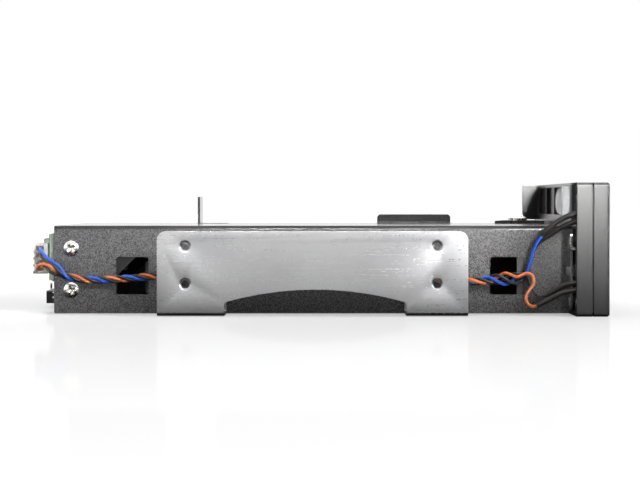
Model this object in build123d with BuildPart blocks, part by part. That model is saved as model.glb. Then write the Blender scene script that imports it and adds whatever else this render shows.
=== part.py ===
from build123d import *
import os
from math import cos, degrees, pi, radians, sin, tan

# Hot swap cage for one 3.5-inch drive in a 5.25-inch bay, in millimetres.
# +X points out of the front, +Z up; the origin is the bottom centre of the whole.

os.makedirs("parts", exist_ok=True)

# Overall sizes
overall_length = 184.0
bay_width = 146.05
bezel_width = 148.6
bezel_height = 42.2
ground_gap = 0.25

# Front: frame, seam and faceplate, one behind the other
faceplate_depth = 5.0
seam_width = 0.5
seam_inset = 1.2
frame_depth = 4.9
frame_back_wall = 1.5
bezel_edge_radius = 1.0
boss_height = 0.6
boss_radius = 2.2
bezel_screw_inset = 3.3
bezel_screw_rise = 4.5
bezel_screw_drop = 4.7
guide_wall = 1.5
guide_length = 17.1
rib_pitch = 28.0
rib_width = 1.6
rib_height = 1.3
rib_rail_height = 1.7
ear_thickness = 1.4
ear_length = 5.8
ear_gap = 1.2
near_ear_y = 62.4
near_ear_rise = 1.45
near_ear_drop = 0.9
near_ear_round = 0.39
near_ear_reach = 0.7
ear_plate_setback = 2.2
ear_plate_rim = 0.2
ear_plate_thickness = 0.5
ear_plate_front_gap = 0.6
ear_plate_lip = 0.4
far_ear_y = 59.0
far_ear_drop = 0.2
far_ear_corner = 2.5
hook_reach = 3.4
hook_rise = 20.6
hook_thickness = 1.0
clip_from_wall = 3.7
clip_width = 7.1
clip_rise = 12.35
clip_height = 2.8
clip_side_gap = 0.5
clip_under_gap = 0.4
clip_over_gap = 0.9
clip_seat = 2.0
clip_reach = 0.4

# Cage sheet
cage_sheet = 0.8
cage_width = 110.0
cage_height = 28.2
rear_overhang = 7.4
bend_radius = 0.5
flange_reach = 12.5
flange_inset = 1.0
flange_corner = 2.0
flange_screw_inset = 3.0
flange_screw_rises = (4.5, 23.5)
flange_screw_length = 3.6
screw_tip_gap = 0.4

# Windows in the wall that the leads pass
window_height = 12.3
window_rise = 5.8
rear_window_width = 10.4
rear_window_from_rear = 20.0
front_window_width = 11.1
front_window_from_front = 14.2
window_corner = 0.8

# Tabs lanced out of the top sheet
tall_tab_from_rear = 42.7
tall_tab_height = 9.4
tall_tab_width = 20.0
tall_tab_centre = 25.0
low_tab_from_front = 33.7
low_tab_length = 26.0
low_tab_height = 3.2
low_tab_y = 26.0
low_tab_corner = 1.2

# Side brackets
bracket_sheet = 1.0
bracket_height = 26.6
bracket_length = 97.9
bracket_from_front = 33.4
bracket_corner = 2.8
rear_foot_length = 21.2
front_foot_length = 19.4
arch_end_rise = 4.15
arch_top_rise = 8.2
arch_corner = 1.2
foot_tab_height = 7.0
side_hole_pitch = 79.25
side_hole_step = 11.84
side_hole_rise = 10.0
side_hole_from_rear = 8.9
side_hole_radius = 1.25
collar_radius = 2.2
collar_height = 1.2

# Fasteners
rivet_radius = 1.5
rivet_head_radius = 2.5
rivet_head_height = 0.8
rivet_rise = 3.6
support_thickness = 1.0
support_near = 15.0
support_far = 53.0
support_from_front = 1.2
support_length = 17.6
support_slant = 6.3
support_screw_from_front = 9.2
support_screw_inset = 7.0
screw_radius = 1.45
screw_head_radius = 2.45
screw_head_height = 1.6
screw_fillet = 0.6
small_screw_radius = 1.0
small_head_radius = 1.8
small_head_height = 0.8
counterbore_depth = 1.0
screw_bite = 2.0

# Drive and the space it needs
drive_width = 101.6
rail_clearance = 0.2
rail_height = 10.0
rail_rise = 6.5
rail_from_rear = 29.4
rail_from_front = 29.0
rail_lead_in = 1.2
rail_groove_height = 4.0
rail_groove_depth = 1.2
rail_groove_rear = 4.0
rail_groove_front = 6.0
peg_radius = 2.0
peg_spacing = 30.0
floor_lip_height = 5.2
floor_inset = 0.5

# Backplane
board_thickness = 1.6
board_half_width = 53.0
board_rise = 1.05
board_height = 24.55
board_notch_width = 15.5
board_notch_height = 9.45
frame_flange_gap = 0.9
board_setback = 0.2
near_screw_inset = 8.5
far_screw_inset = 4.5
top_screw_drop = 3.5
low_screw_rise = 3.8
board_head_radius = 2.2
board_head_height = 1.6
socket_cut_gap = 1.0
vent_pitch = 8.0
vent_count = 9
vent_length = 9.0
vent_width = 3.0
ear_bottom_length = 10.3
ear_top_length = 32.1
ear_rise = 2.0
ear_height = 24.6
wall_screw_from_rear = 5.6
wall_screw_rises = (7.5, 20.9)
wall_screw_length = 3.2
socket_offset = -20.7
socket_width = 42.0
socket_height = 6.6
socket_depth = 8.6
socket_slot_width = 34.0
socket_slot_height = 2.6
socket_rise = 0.3
socket_back_wall = 2.4
socket_corner = 0.6
socket_lead_in = 0.5
key_from_edge = 10.2
key_width = 1.2
first_data_contact = 1.6
first_power_contact = 2.0
contact_setback = 0.8
contact_pitch = 1.27
contact_width = 0.8
contact_thickness = 0.4
power_connector_width = 24.0
data_connector_width = 14.0
data_connector_centre = 25.0
rear_connector_height = 4.2
rear_connector_rise = 1.4
connector_wall = 0.9
connector_corner = 0.4
blade_height = 1.1
blade_setback = 0.6
can_radius = 3.15
can_height = 4.8
can_base = 6.6
can_base_height = 0.6
can_base_corner = 0.8
can_rim = 0.4
can_spots = [(20.0, 17.0), (29.0, 17.0)]

# Lead plug and its header
plug_pitch = 2.2
plug_end_wall = 0.55
way_width = 2.4
way_depth = 1.5
plug_ways = 4
header_depth = 4.4
header_width = 6.0
header_far_y = 42.5
plug_depth = 4.8
plug_width = 5.0
plug_rise = 12.65
plug_setback = 0.4
plug_groove = 0.4
way_opening = 1.4
header_wall = 0.7
header_back_wall = 1.2
header_key_height = 1.5

# Door, its hinge and the ejector's crank
door_height = 28.0
door_rise = 1.5
door_gap = 0.3
door_near_edge = -58.0
door_skin = 1.8
door_wall = 1.8
door_rib = 1.6
door_cells = 5
door_thin_skin = 1.0
hinge_y = 59.2
hinge_pin_radius = 1.0
hinge_pin_reach = 5.0
hinge_pin_seat = 0.35
hinge_pin_grip = 4.0
hinge_relief = 1.1
running_gap = 0.05
door_opening_angle = 95.0
crank_radius = 4.4
crank_pin_radius = 1.0
crank_arm_thickness = 2.2
crank_side_gap = 0.45
crank_end_gap = 0.3
crank_boss_radius = 1.9
tongue_rise = 16.5
tongue_thickness = 1.0
tongue_web = 1.0
tongue_gap = 0.3
tongue_neck = 14.0
strip_setback = 2.0
slide_thickness = 1.0
slide_height = 7.0
slide_gap = 0.15
slide_slot_gap = 0.2
slide_rivet_from_front = (21.0, 129.0)
pusher_reach = 9.0
pusher_from_rear = 7.2

# Latch
latch_travel = 2.5
latch_height = 5.0
latch_rise = 13.0
latch_gap = 0.25
latch_catch = 2.0
latch_length = 12.0
finger_length = 6.2
finger_inset = 3.6
finger_setback = 0.2
latch_back_gap = 0.5
cover_reach = 5.0
cover_screw_inset = 8.0
cover_screw_step = 3.0
cover_thickness = 0.7
spring_thickness = 0.3
spring_height = 3.4

# Lamps
lamp_radius = 1.5
lamp_flange_radius = 1.9
lamp_y = -70.0
lamp_flange_thickness = 1.0
lamp_seat_gap = 0.2
activity_lamp_rise = 9.45
power_lamp_drop = 10.4
pocket_height = 5.2
pocket_width = 2.6
pocket_depth = 2.2

# Leads
wire_diameter = 1.0
bundle_diameter = 2.7
sleeve_diameter = 1.6

# Places that follow from the sizes above
front = overall_length / 2
plate_back = front - faceplate_depth
frame_front = plate_back - seam_width
bezel_back = frame_front - frame_depth
cage_front = bezel_back - boss_height
cage_rear = -front + rear_overhang
cage_depth = cage_front - cage_rear
cage_half = cage_width / 2
wall_inner = cage_half - cage_sheet
cage_bottom = ground_gap
deck = cage_bottom + cage_sheet
cage_top = cage_bottom + cage_height
ceiling = cage_top - cage_sheet
bay_half = bay_width / 2
bezel_half = bezel_width / 2
drive_half = drive_width / 2
overshoot = 1.0
lamp_rises = (activity_lamp_rise, bezel_height - power_lamp_drop)
lamp_base = bezel_back + pocket_depth

door_bottom = door_rise + ground_gap
door_top = door_bottom + door_height
barrel_radius = faceplate_depth / 2
hinge_x = front - barrel_radius
door_far_edge = hinge_y + barrel_radius
opening_near = door_near_edge - door_gap
opening_far = door_far_edge + door_gap
opening_bottom = door_bottom - door_gap
opening_top = door_top + door_gap

half_turn = radians(door_opening_angle / 2)
crank_x = hinge_x - crank_radius * sin(half_turn)
crank_y = hinge_y - crank_radius * cos(half_turn)
ejector_travel = 2 * crank_radius * sin(half_turn)
tongue_bottom = tongue_rise + ground_gap
tongue_top = tongue_bottom + tongue_thickness
arm_bottom = tongue_top + tongue_gap
slide_inner = cage_half + slide_gap
slide_outer = slide_inner + slide_thickness
slide_bottom = tongue_top - slide_height


def at_x(x):
    """An upright plane across the cage, drawn in Y and Z; it extrudes towards +X."""
    return Plane.YZ.offset(x)


def at_y(y):
    """An upright plane along the cage, drawn in X and Z; it extrudes towards -Y."""
    return Plane.XZ.offset(-y)


def at_z(z):
    """A level plane, drawn in X and Y; it extrudes upwards."""
    return Plane.XY.offset(z)


def rect(left, right, bottom, top, mode=Mode.ADD):
    """A rectangle between two corners of the sketch that is open."""
    with Locations(((left + right) / 2, (bottom + top) / 2)):
        return Rectangle(right - left, top - bottom, mode=mode)


def discs(plane, spots, radius, height, mode=Mode.ADD):
    """Round posts or holes at the given spots of a plane."""
    with BuildSketch(plane) as rounds:
        with Locations(*spots):
            Circle(radius)
    extrude(rounds.sketch, amount=height, mode=mode)


def headed(plane, spots, head_radius, head_height, shank_radius, shank_length):
    """Screws or rivets: heads stand on the plane and the shanks go through it."""
    discs(plane, spots, shank_radius, -shank_length)
    discs(plane, spots, head_radius, head_height)


# Cage shell: one black sheet folded down at both sides, with flanges at the front.
window_bottom = cage_bottom + window_rise
rear_window = cage_rear + rear_window_from_rear
front_window = cage_front - front_window_from_front
rail_middle = cage_bottom + rail_rise + rail_height / 2
peg_spots = [(-peg_spacing / 2, rail_middle), (peg_spacing / 2, rail_middle)]
wall_screw_spots = [(cage_rear + wall_screw_from_rear, cage_bottom + rise) for rise in wall_screw_rises]
bracket_front = cage_front - bracket_from_front
bracket_rear = bracket_front - bracket_length
foot_spans = [
    (bracket_rear, bracket_rear + rear_foot_length),
    (bracket_front - front_foot_length, bracket_front),
]
rivet_spots = [((start + end) / 2, cage_bottom + rivet_rise) for start, end in foot_spans]
slide_middle = slide_bottom + slide_height / 2
slide_rivet_spots = [(cage_front - back, slide_middle) for back in slide_rivet_from_front]
pusher_x = cage_rear + pusher_from_rear
pusher_slot = (pusher_x - tongue_gap, pusher_x + slide_thickness + ejector_travel + tongue_gap)
tall_tab_x = cage_rear + tall_tab_from_rear
low_tab_front = cage_front - low_tab_from_front
clip_far = -cage_half - clip_from_wall
clip_near = clip_far - clip_width
clip_bottom = cage_bottom + clip_rise
clip_top = clip_bottom + clip_height
notch_out = hinge_y + slide_slot_gap


def pusher_window():
    """The slot that the ejector's pusher travels in, through whatever lies on the far wall."""
    with BuildSketch(at_y(wall_inner - cage_sheet - overshoot)) as window:
        rect(pusher_slot[0], pusher_slot[1], slide_bottom - tongue_gap, tongue_top + tongue_gap)
    extrude(window.sketch, amount=-(2 * cage_sheet + 2 * overshoot), mode=Mode.SUBTRACT)


with BuildPart() as cage_shell:
    with BuildSketch(at_x(cage_rear)) as section:
        rect(-cage_half, cage_half, cage_bottom, cage_top)
        rect(-wall_inner, wall_inner, cage_bottom, ceiling, mode=Mode.SUBTRACT)
        fillet(section.vertices().filter_by_position(Axis.Y, ceiling - 0.01, ceiling + 0.01), bend_radius)
        fillet(
            section.vertices().filter_by_position(Axis.Y, cage_top - 0.01, cage_top + 0.01),
            bend_radius + cage_sheet,
        )
    extrude(amount=cage_depth)
    # Front flanges, turned outwards, with rounded outer corners
    with BuildSketch(at_x(cage_front - cage_sheet)) as flanges:
        rect(-cage_half - flange_reach, -wall_inner, cage_bottom + flange_inset, cage_top - flange_inset)
        rect(wall_inner, cage_half + flange_reach, cage_bottom + flange_inset, cage_top - flange_inset)
        fillet(flanges.vertices().group_by(Axis.X)[0], flange_corner)
        fillet(flanges.vertices().group_by(Axis.X)[-1], flange_corner)
    extrude(amount=cage_sheet)
    # Two windows in the near wall
    with BuildSketch(at_y(-wall_inner + overshoot)) as windows:
        rect(rear_window, rear_window + rear_window_width, window_bottom, window_bottom + window_height)
        rect(
            front_window - front_window_width,
            front_window,
            window_bottom,
            window_bottom + window_height,
        )
        fillet(windows.vertices(), window_corner)
    extrude(amount=cage_sheet + 2 * overshoot, mode=Mode.SUBTRACT)
    # Holes through both walls
    discs(at_y(cage_half + overshoot), wall_screw_spots, screw_radius, cage_width + 2 * overshoot, Mode.SUBTRACT)
    discs(at_y(cage_half + overshoot), peg_spots, peg_radius, cage_width + 2 * overshoot, Mode.SUBTRACT)
    discs(at_y(cage_half + overshoot), rivet_spots, rivet_radius, cage_width + 2 * overshoot, Mode.SUBTRACT)
    # Ejector: rivet holes, the pusher's slot, and the notch where the strip leaves the front
    discs(at_y(cage_half + overshoot), slide_rivet_spots, rivet_radius, cage_sheet + 2 * overshoot, Mode.SUBTRACT)
    pusher_window()
    with BuildSketch(at_x(cage_front - 2 * cage_sheet)):
        rect(cage_half, notch_out, slide_bottom - tongue_gap, arm_bottom)
    extrude(amount=3 * cage_sheet, mode=Mode.SUBTRACT)
    # Slot in the near flange for the bezel's clip
    with BuildSketch(at_x(cage_front - 2 * cage_sheet)):
        rect(
            clip_near - clip_side_gap,
            clip_far + clip_side_gap,
            clip_bottom - clip_under_gap,
            clip_top + clip_over_gap,
        )
    extrude(amount=3 * cage_sheet, mode=Mode.SUBTRACT)
    # Flush screws of the flanges
    flange_screw_spots = [
        (side * (cage_half + flange_reach - flange_screw_inset), cage_bottom + rise)
        for side in (-1, 1)
        for rise in flange_screw_rises
    ]
    discs(at_x(cage_front - 2 * cage_sheet), flange_screw_spots, small_head_radius, 3 * cage_sheet, Mode.SUBTRACT)
    # Holes of the support bracket's screws
    support_screw_x = cage_front - support_screw_from_front
    support_spots = [
        (support_screw_x, support_near + support_screw_inset),
        (support_screw_x, support_far - support_screw_inset),
    ]
    discs(at_z(ceiling - overshoot), support_spots, screw_radius, cage_sheet + 2 * overshoot, Mode.SUBTRACT)
    # The tall tab is lanced from the top and stands upright across the cage
    with BuildSketch(at_z(ceiling - overshoot)):
        rect(
            tall_tab_x + cage_sheet,
            tall_tab_x + cage_sheet + tall_tab_height,
            tall_tab_centre - tall_tab_width / 2,
            tall_tab_centre + tall_tab_width / 2,
        )
        rect(low_tab_front - low_tab_length, low_tab_front, low_tab_y, low_tab_y + low_tab_height)
    extrude(amount=cage_sheet + 2 * overshoot, mode=Mode.SUBTRACT)
    with BuildSketch(at_x(tall_tab_x)):
        rect(
            tall_tab_centre - tall_tab_width / 2,
            tall_tab_centre + tall_tab_width / 2,
            ceiling,
            cage_top + tall_tab_height,
        )
    extrude(amount=cage_sheet)
    # The low tab stands along the cage
    with BuildSketch(at_y(low_tab_y)) as low_tab:
        rect(low_tab_front - low_tab_length, low_tab_front, ceiling, cage_top + low_tab_height)
        fillet(low_tab.vertices().group_by(Axis.Y)[-1], low_tab_corner)
    extrude(amount=cage_sheet)
cage_shell.part.label = "cage_shell"
export_step(cage_shell.part, "parts/cage_shell.step")


# Floor plate: a sheet between the walls whose lips stand against them.
floor_rear = cage_rear + floor_inset
floor_front = cage_front - cage_sheet - floor_inset
with BuildPart() as floor_plate:
    with BuildSketch(at_x(floor_rear)) as floor_section:
        rect(-wall_inner, wall_inner, cage_bottom, deck + floor_lip_height)
        rect(-wall_inner + cage_sheet, wall_inner - cage_sheet, deck, deck + floor_lip_height, mode=Mode.SUBTRACT)
        fillet(floor_section.vertices().group_by(Axis.Y)[0], bend_radius)
    extrude(amount=floor_front - floor_rear)
    discs(at_y(cage_half), rivet_spots, rivet_radius, cage_width, Mode.SUBTRACT)
floor_plate.part.label = "floor_plate"
export_step(floor_plate.part, "parts/floor_plate.step")


# Side brackets: a silver web with an arched cut-out, and two feet that turn in to the wall.
hole_middle_x = bracket_rear + side_hole_from_rear + side_hole_pitch / 2
hole_middle_z = cage_bottom + side_hole_rise + side_hole_step / 2
arch_start = bracket_rear + rear_foot_length
arch_stop = bracket_front - front_foot_length
arch_end_z = cage_bottom + arch_end_rise
arch_top_z = cage_bottom + arch_top_rise
web_inner = bay_half - bracket_sheet

with BuildPart() as side_bracket_left:
    with BuildSketch(at_y(-web_inner)) as web:
        rect(bracket_rear, bracket_front, cage_bottom, cage_bottom + bracket_height)
        fillet(web.vertices().group_by(Axis.Y)[-1], bracket_corner)
        with BuildLine():
            Polyline((arch_start, arch_end_z), (arch_start, cage_bottom - overshoot))
            Line((arch_start, cage_bottom - overshoot), (arch_stop, cage_bottom - overshoot))
            Line((arch_stop, cage_bottom - overshoot), (arch_stop, arch_end_z))
            ThreePointArc(
                (arch_stop, arch_end_z),
                ((arch_start + arch_stop) / 2, arch_top_z),
                (arch_start, arch_end_z),
            )
        make_face(mode=Mode.SUBTRACT)
        ends = web.vertices().filter_by_position(Axis.Y, arch_end_z - 0.01, arch_end_z + 0.01)
        fillet(ends, arch_corner)
    extrude(amount=bracket_sheet)
    # Each foot turns in at the bottom and up against the wall
    for start, end in foot_spans:
        with BuildSketch(at_x(start)):
            rect(-web_inner - bracket_sheet, -cage_half, cage_bottom, cage_bottom + bracket_sheet)
            rect(-cage_half - bracket_sheet, -cage_half, cage_bottom, cage_bottom + foot_tab_height)
        extrude(amount=end - start)
    outer_bends = (
        side_bracket_left.edges()
        .filter_by(Axis.X)
        .filter_by_position(Axis.Y, -bay_half - 0.01, -bay_half + 0.01)
        .filter_by_position(Axis.Z, cage_bottom - 0.01, cage_bottom + 0.01)
    )
    fillet(outer_bends, bracket_sheet)
    # Tapped holes drawn out into collars on the inner side
    with BuildSketch(at_y(-web_inner)):
        with Locations((hole_middle_x, hole_middle_z)):
            with GridLocations(side_hole_pitch, side_hole_step, 2, 2):
                Circle(collar_radius)
    extrude(amount=-collar_height)
    with BuildSketch(at_y(-web_inner + collar_height + overshoot)):
        with Locations((hole_middle_x, hole_middle_z)):
            with GridLocations(side_hole_pitch, side_hole_step, 2, 2):
                Circle(side_hole_radius)
    extrude(amount=collar_height + bracket_sheet + 2 * overshoot, mode=Mode.SUBTRACT)
    discs(at_y(-cage_half + overshoot), rivet_spots, rivet_radius, bracket_sheet + 2 * overshoot, Mode.SUBTRACT)
side_bracket_left.part.label = "side_bracket_left"
export_step(side_bracket_left.part, "parts/side_bracket_left.step")

with BuildPart() as side_bracket_right:
    mirror(side_bracket_left.part, about=Plane.XZ)
side_bracket_right.part.label = "side_bracket_right"
export_step(side_bracket_right.part, "parts/side_bracket_right.step")


# Bracket rivets: through the foot, the wall and the floor's lip.
rivet_grip = bracket_sheet + 2 * cage_sheet
with BuildPart() as bracket_rivets:
    headed(
        at_y(-cage_half - bracket_sheet),
        rivet_spots,
        rivet_head_radius,
        rivet_head_height,
        rivet_radius,
        rivet_grip,
    )
    discs(at_y(-wall_inner + cage_sheet), rivet_spots, rivet_head_radius, -rivet_head_height)
    mirror(about=Plane.XZ)
bracket_rivets.part.label = "bracket_rivets"
export_step(bracket_rivets.part, "parts/bracket_rivets.step")


# Guide rails: plastic strips pegged into the walls, bevelled where the drive comes in.
rail_rear = cage_rear + rail_from_rear
rail_front = cage_front - rail_from_front
rail_inner = drive_half + rail_clearance
with BuildPart() as guide_rail_left:
    with BuildSketch(at_z(cage_bottom + rail_rise)) as rail_plan:
        rect(rail_rear, rail_front, -wall_inner, -rail_inner)
        front_inner = rail_plan.vertices().group_by(Axis.X)[-1].group_by(Axis.Y)[-1]
        chamfer(front_inner, rail_lead_in)
    extrude(amount=rail_height)
    # A long groove leaves two ribs for the drive to slide on
    with BuildSketch(at_y(-rail_inner)):
        rect(
            rail_rear + rail_groove_rear,
            rail_front - rail_groove_front,
            rail_middle - rail_groove_height / 2,
            rail_middle + rail_groove_height / 2,
        )
    extrude(amount=rail_groove_depth, mode=Mode.SUBTRACT)
    discs(at_y(-wall_inner), peg_spots, peg_radius, cage_sheet)
guide_rail_left.part.label = "guide_rail_left"
export_step(guide_rail_left.part, "parts/guide_rail_left.step")

with BuildPart() as guide_rail_right:
    mirror(guide_rail_left.part, about=Plane.XZ)
guide_rail_right.part.label = "guide_rail_right"
export_step(guide_rail_right.part, "parts/guide_rail_right.step")


# Ejector slide: a strip outside the far wall. Its rear end turns in behind the drive, and its
# front end is a level tongue whose cross slot the crank pin works in.
slot_low = hinge_y - crank_radius - crank_pin_radius - crank_end_gap
slot_high = crank_y + crank_pin_radius + crank_end_gap
slot_half = crank_pin_radius + crank_side_gap
tongue_front = crank_x + slot_half + tongue_web
neck_front = crank_x - slot_half - tongue_web
strip_front = cage_front - strip_setback
with BuildPart() as ejector_slide:
    with BuildSketch(at_y(slide_outer)) as strip:
        rect(pusher_x, strip_front, slide_bottom, tongue_top)
        for x, z in slide_rivet_spots:
            with Locations((x - ejector_travel / 2, z)):
                SlotOverall(
                    ejector_travel + 2 * (rivet_radius + slide_slot_gap),
                    2 * (rivet_radius + slide_slot_gap),
                    mode=Mode.SUBTRACT,
                )
    extrude(amount=slide_thickness)
    # Pusher behind the drive
    with BuildSketch(at_x(pusher_x)):
        rect(slide_outer - pusher_reach, slide_outer, slide_bottom, tongue_top)
    extrude(amount=slide_thickness)
    # Tongue: a neck along the strip's top edge and a wide end with the slot
    with BuildSketch(at_z(tongue_bottom)) as tongue:
        rect(strip_front - tongue_neck, tongue_front, slide_inner, slot_high + tongue_web)
        rect(neck_front, tongue_front, slot_low - tongue_web, slot_high + tongue_web)
        fillet(tongue.vertices().group_by(Axis.X)[-1], tongue_web)
        rect(crank_x - slot_half, crank_x + slot_half, slot_low, slot_high, mode=Mode.SUBTRACT)
    extrude(amount=tongue_thickness)
ejector_slide.part.label = "ejector_slide"
export_step(ejector_slide.part, "parts/ejector_slide.step")


# Ejector rivets: shouldered, flush inside the wall, with a wide head over the strip.
with BuildPart() as ejector_rivets:
    headed(
        at_y(slide_outer + slide_gap),
        slide_rivet_spots,
        rivet_head_radius + rivet_head_height,
        -rivet_head_height,
        rivet_radius,
        -(slide_gap + slide_thickness + slide_gap + cage_sheet),
    )
ejector_rivets.part.label = "ejector_rivets"
export_step(ejector_rivets.part, "parts/ejector_rivets.step")


# Support bracket: a slant-backed plate on the top sheet, under the bezel's ledge.
support_front = cage_front - support_from_front
with BuildPart() as support_bracket:
    with BuildSketch(at_z(cage_top)) as support_plan:
        with BuildLine():
            Polyline(
                (support_front - support_length, support_near),
                (support_front, support_near),
                (support_front, support_far),
                (support_front - support_length + support_slant, support_far),
                close=True,
            )
        make_face()
        fillet(support_plan.vertices().group_by(Axis.X)[0], support_thickness)
        with Locations(*support_spots):
            Circle(screw_radius, mode=Mode.SUBTRACT)
    extrude(amount=support_thickness)
support_bracket.part.label = "support_bracket"
export_step(support_bracket.part, "parts/support_bracket.step")

with BuildPart() as support_screws:
    headed(
        at_z(cage_top + support_thickness),
        support_spots,
        screw_head_radius,
        screw_head_height,
        screw_radius,
        support_thickness + cage_sheet,
    )
    fillet(support_screws.edges().group_by(Axis.Z)[-1], screw_fillet)
support_screws.part.label = "support_screws"
export_step(support_screws.part, "parts/support_screws.step")


# Backplane frame: two ears inside the walls, with slanted front edges, and a flange across.
frame_flange_rear = cage_rear - board_setback + frame_flange_gap
board_front = frame_flange_rear - frame_flange_gap
board_rear = board_front - board_thickness
board_bottom = cage_bottom + board_rise
board_top = board_bottom + board_height
socket_bottom = board_bottom + socket_rise
board_screw_spots = [
    (y, z)
    for y in (-header_far_y + near_screw_inset, board_half_width - far_screw_inset)
    for z in (board_top - top_screw_drop, socket_bottom + socket_height + low_screw_rise)
]
ear_inner = wall_inner - cage_sheet
ear_bottom = deck + floor_lip_height
with BuildPart() as backplane_frame:
    with BuildSketch(at_x(frame_flange_rear)):
        rect(-wall_inner, wall_inner, ear_bottom, ceiling - floor_inset)
        rect(-ear_inner, ear_inner, deck, ear_bottom)
        rect(
            socket_offset - socket_width / 2 - socket_cut_gap,
            socket_offset + socket_width / 2 + socket_cut_gap,
            deck - overshoot,
            socket_bottom + socket_height + socket_cut_gap,
            mode=Mode.SUBTRACT,
        )
        # Row of vents over the socket
        with Locations((0, (board_top + socket_bottom + socket_height) / 2)):
            with GridLocations(vent_pitch, 0, vent_count, 1):
                SlotOverall(vent_length, vent_width, rotation=90, mode=Mode.SUBTRACT)
    extrude(amount=cage_sheet)
    with BuildSketch(at_y(-ear_inner), at_y(wall_inner)):
        with BuildLine():
            Polyline(
                (frame_flange_rear, ear_bottom),
                (frame_flange_rear + ear_bottom_length + floor_lip_height - ear_rise, ear_bottom),
                (frame_flange_rear + ear_top_length, cage_bottom + ear_height),
                (frame_flange_rear + ear_top_length, ceiling - floor_inset),
                (frame_flange_rear, ceiling - floor_inset),
                close=True,
            )
        make_face()
    extrude(amount=cage_sheet)
    # Bosses that hold the board off the flange
    discs(at_x(board_front), board_screw_spots, boss_radius, frame_flange_gap)
    discs(
        at_x(board_front - overshoot),
        board_screw_spots,
        small_screw_radius,
        frame_flange_gap + cage_sheet + 2 * overshoot,
        Mode.SUBTRACT,
    )
    discs(at_y(wall_inner + overshoot), wall_screw_spots, screw_radius, cage_width, Mode.SUBTRACT)
    pusher_window()
backplane_frame.part.label = "backplane_frame"
export_step(backplane_frame.part, "parts/backplane_frame.step")


# Wall screws: pan heads on the outside, threaded through the ears.
with BuildPart() as wall_screws:
    headed(
        at_y(-cage_half),
        wall_screw_spots,
        screw_head_radius,
        screw_head_height,
        screw_radius,
        wall_screw_length,
    )
    fillet(wall_screws.edges().group_by(Axis.Y)[0], screw_fillet)
    mirror(about=Plane.XZ)
wall_screws.part.label = "wall_screws"
export_step(wall_screws.part, "parts/wall_screws.step")


# Backplane board, with a notch at its near lower corner.
with BuildPart() as backplane_board:
    with BuildSketch(at_x(board_rear)):
        rect(-board_half_width, board_half_width, board_bottom, board_top)
        rect(
            -board_half_width,
            -board_half_width + board_notch_width,
            board_bottom,
            board_bottom + board_notch_height,
            mode=Mode.SUBTRACT,
        )
        with Locations(*board_screw_spots):
            Circle(small_screw_radius, mode=Mode.SUBTRACT)
    extrude(amount=board_thickness)
backplane_board.part.label = "backplane_board"
export_step(backplane_board.part, "parts/backplane_board.step")

with BuildPart() as board_screws:
    headed(
        at_x(board_rear),
        board_screw_spots,
        board_head_radius,
        -board_head_height,
        small_screw_radius,
        -(board_thickness + frame_flange_gap + cage_sheet),
    )
board_screws.part.label = "board_screws"
export_step(board_screws.part, "parts/board_screws.step")


# Drive socket: a long housing with the slot that the drive's edge connector enters.
socket_front = board_front + socket_depth
slot_depth = socket_depth - socket_back_wall
slot_bottom = socket_bottom + (socket_height - socket_slot_height) / 2
key_y = socket_offset - socket_slot_width / 2 + key_from_edge
with BuildPart() as drive_socket:
    with BuildSketch(at_x(board_front)) as housing:
        rect(
            socket_offset - socket_width / 2,
            socket_offset + socket_width / 2,
            socket_bottom,
            socket_bottom + socket_height,
        )
        fillet(housing.vertices(), socket_corner)
    extrude(amount=socket_depth)
    with BuildSketch(at_x(socket_front - slot_depth)):
        rect(
            socket_offset - socket_slot_width / 2,
            socket_offset + socket_slot_width / 2,
            slot_bottom,
            slot_bottom + socket_slot_height,
        )
        # The key that parts the data contacts from the power contacts
        rect(
            key_y - key_width / 2,
            key_y + key_width / 2,
            slot_bottom,
            slot_bottom + socket_slot_height,
            mode=Mode.SUBTRACT,
        )
    extrude(amount=slot_depth, mode=Mode.SUBTRACT)
    mouth = drive_socket.faces().sort_by(Axis.X)[-1]
    chamfer(mouth.outer_wire().edges(), socket_lead_in)
drive_socket.part.label = "drive_socket"
export_step(drive_socket.part, "parts/drive_socket.step")

data_contacts_y = [key_y - first_data_contact - contact_pitch * n for n in range(7)]
power_contacts_y = [key_y + first_power_contact + contact_pitch * n for n in range(15)]
with BuildPart() as socket_contacts:
    with BuildSketch(at_z(slot_bottom)):
        for y in data_contacts_y + power_contacts_y:
            rect(
                socket_front - slot_depth,
                socket_front - contact_setback,
                y - contact_width / 2,
                y + contact_width / 2,
            )
    extrude(amount=contact_thickness)
socket_contacts.part.label = "socket_contacts"
export_step(socket_contacts.part, "parts/socket_contacts.step")


# Rear connectors: power and data plugs with a tongue in a sunk opening, low on the board.
connector_bottom = cage_bottom + rear_connector_rise
connector_rear = -front
connector_depth = board_rear - connector_rear


def rear_connector(middle, width):
    """Housing of one connector, open at the rear, with its contact tongue."""
    with BuildSketch(at_x(connector_rear)) as housing:
        rect(middle - width / 2, middle + width / 2, connector_bottom, connector_bottom + rear_connector_height)
        fillet(housing.vertices(), connector_corner)
    extrude(housing.sketch, amount=connector_depth)
    with BuildSketch(at_x(connector_rear)) as opening:
        rect(
            middle - width / 2 + connector_wall,
            middle + width / 2 - connector_wall,
            connector_bottom + connector_wall,
            connector_bottom + rear_connector_height - connector_wall,
        )
    extrude(opening.sketch, amount=connector_depth - connector_wall, mode=Mode.SUBTRACT)
    with BuildSketch(at_x(connector_rear + blade_setback)) as blade:
        rect(
            middle - width / 2 + 2 * connector_wall,
            middle + width / 2 - 2 * connector_wall,
            connector_bottom + connector_wall,
            connector_bottom + connector_wall + blade_height,
        )
    extrude(blade.sketch, amount=connector_depth - blade_setback - connector_wall)


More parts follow.
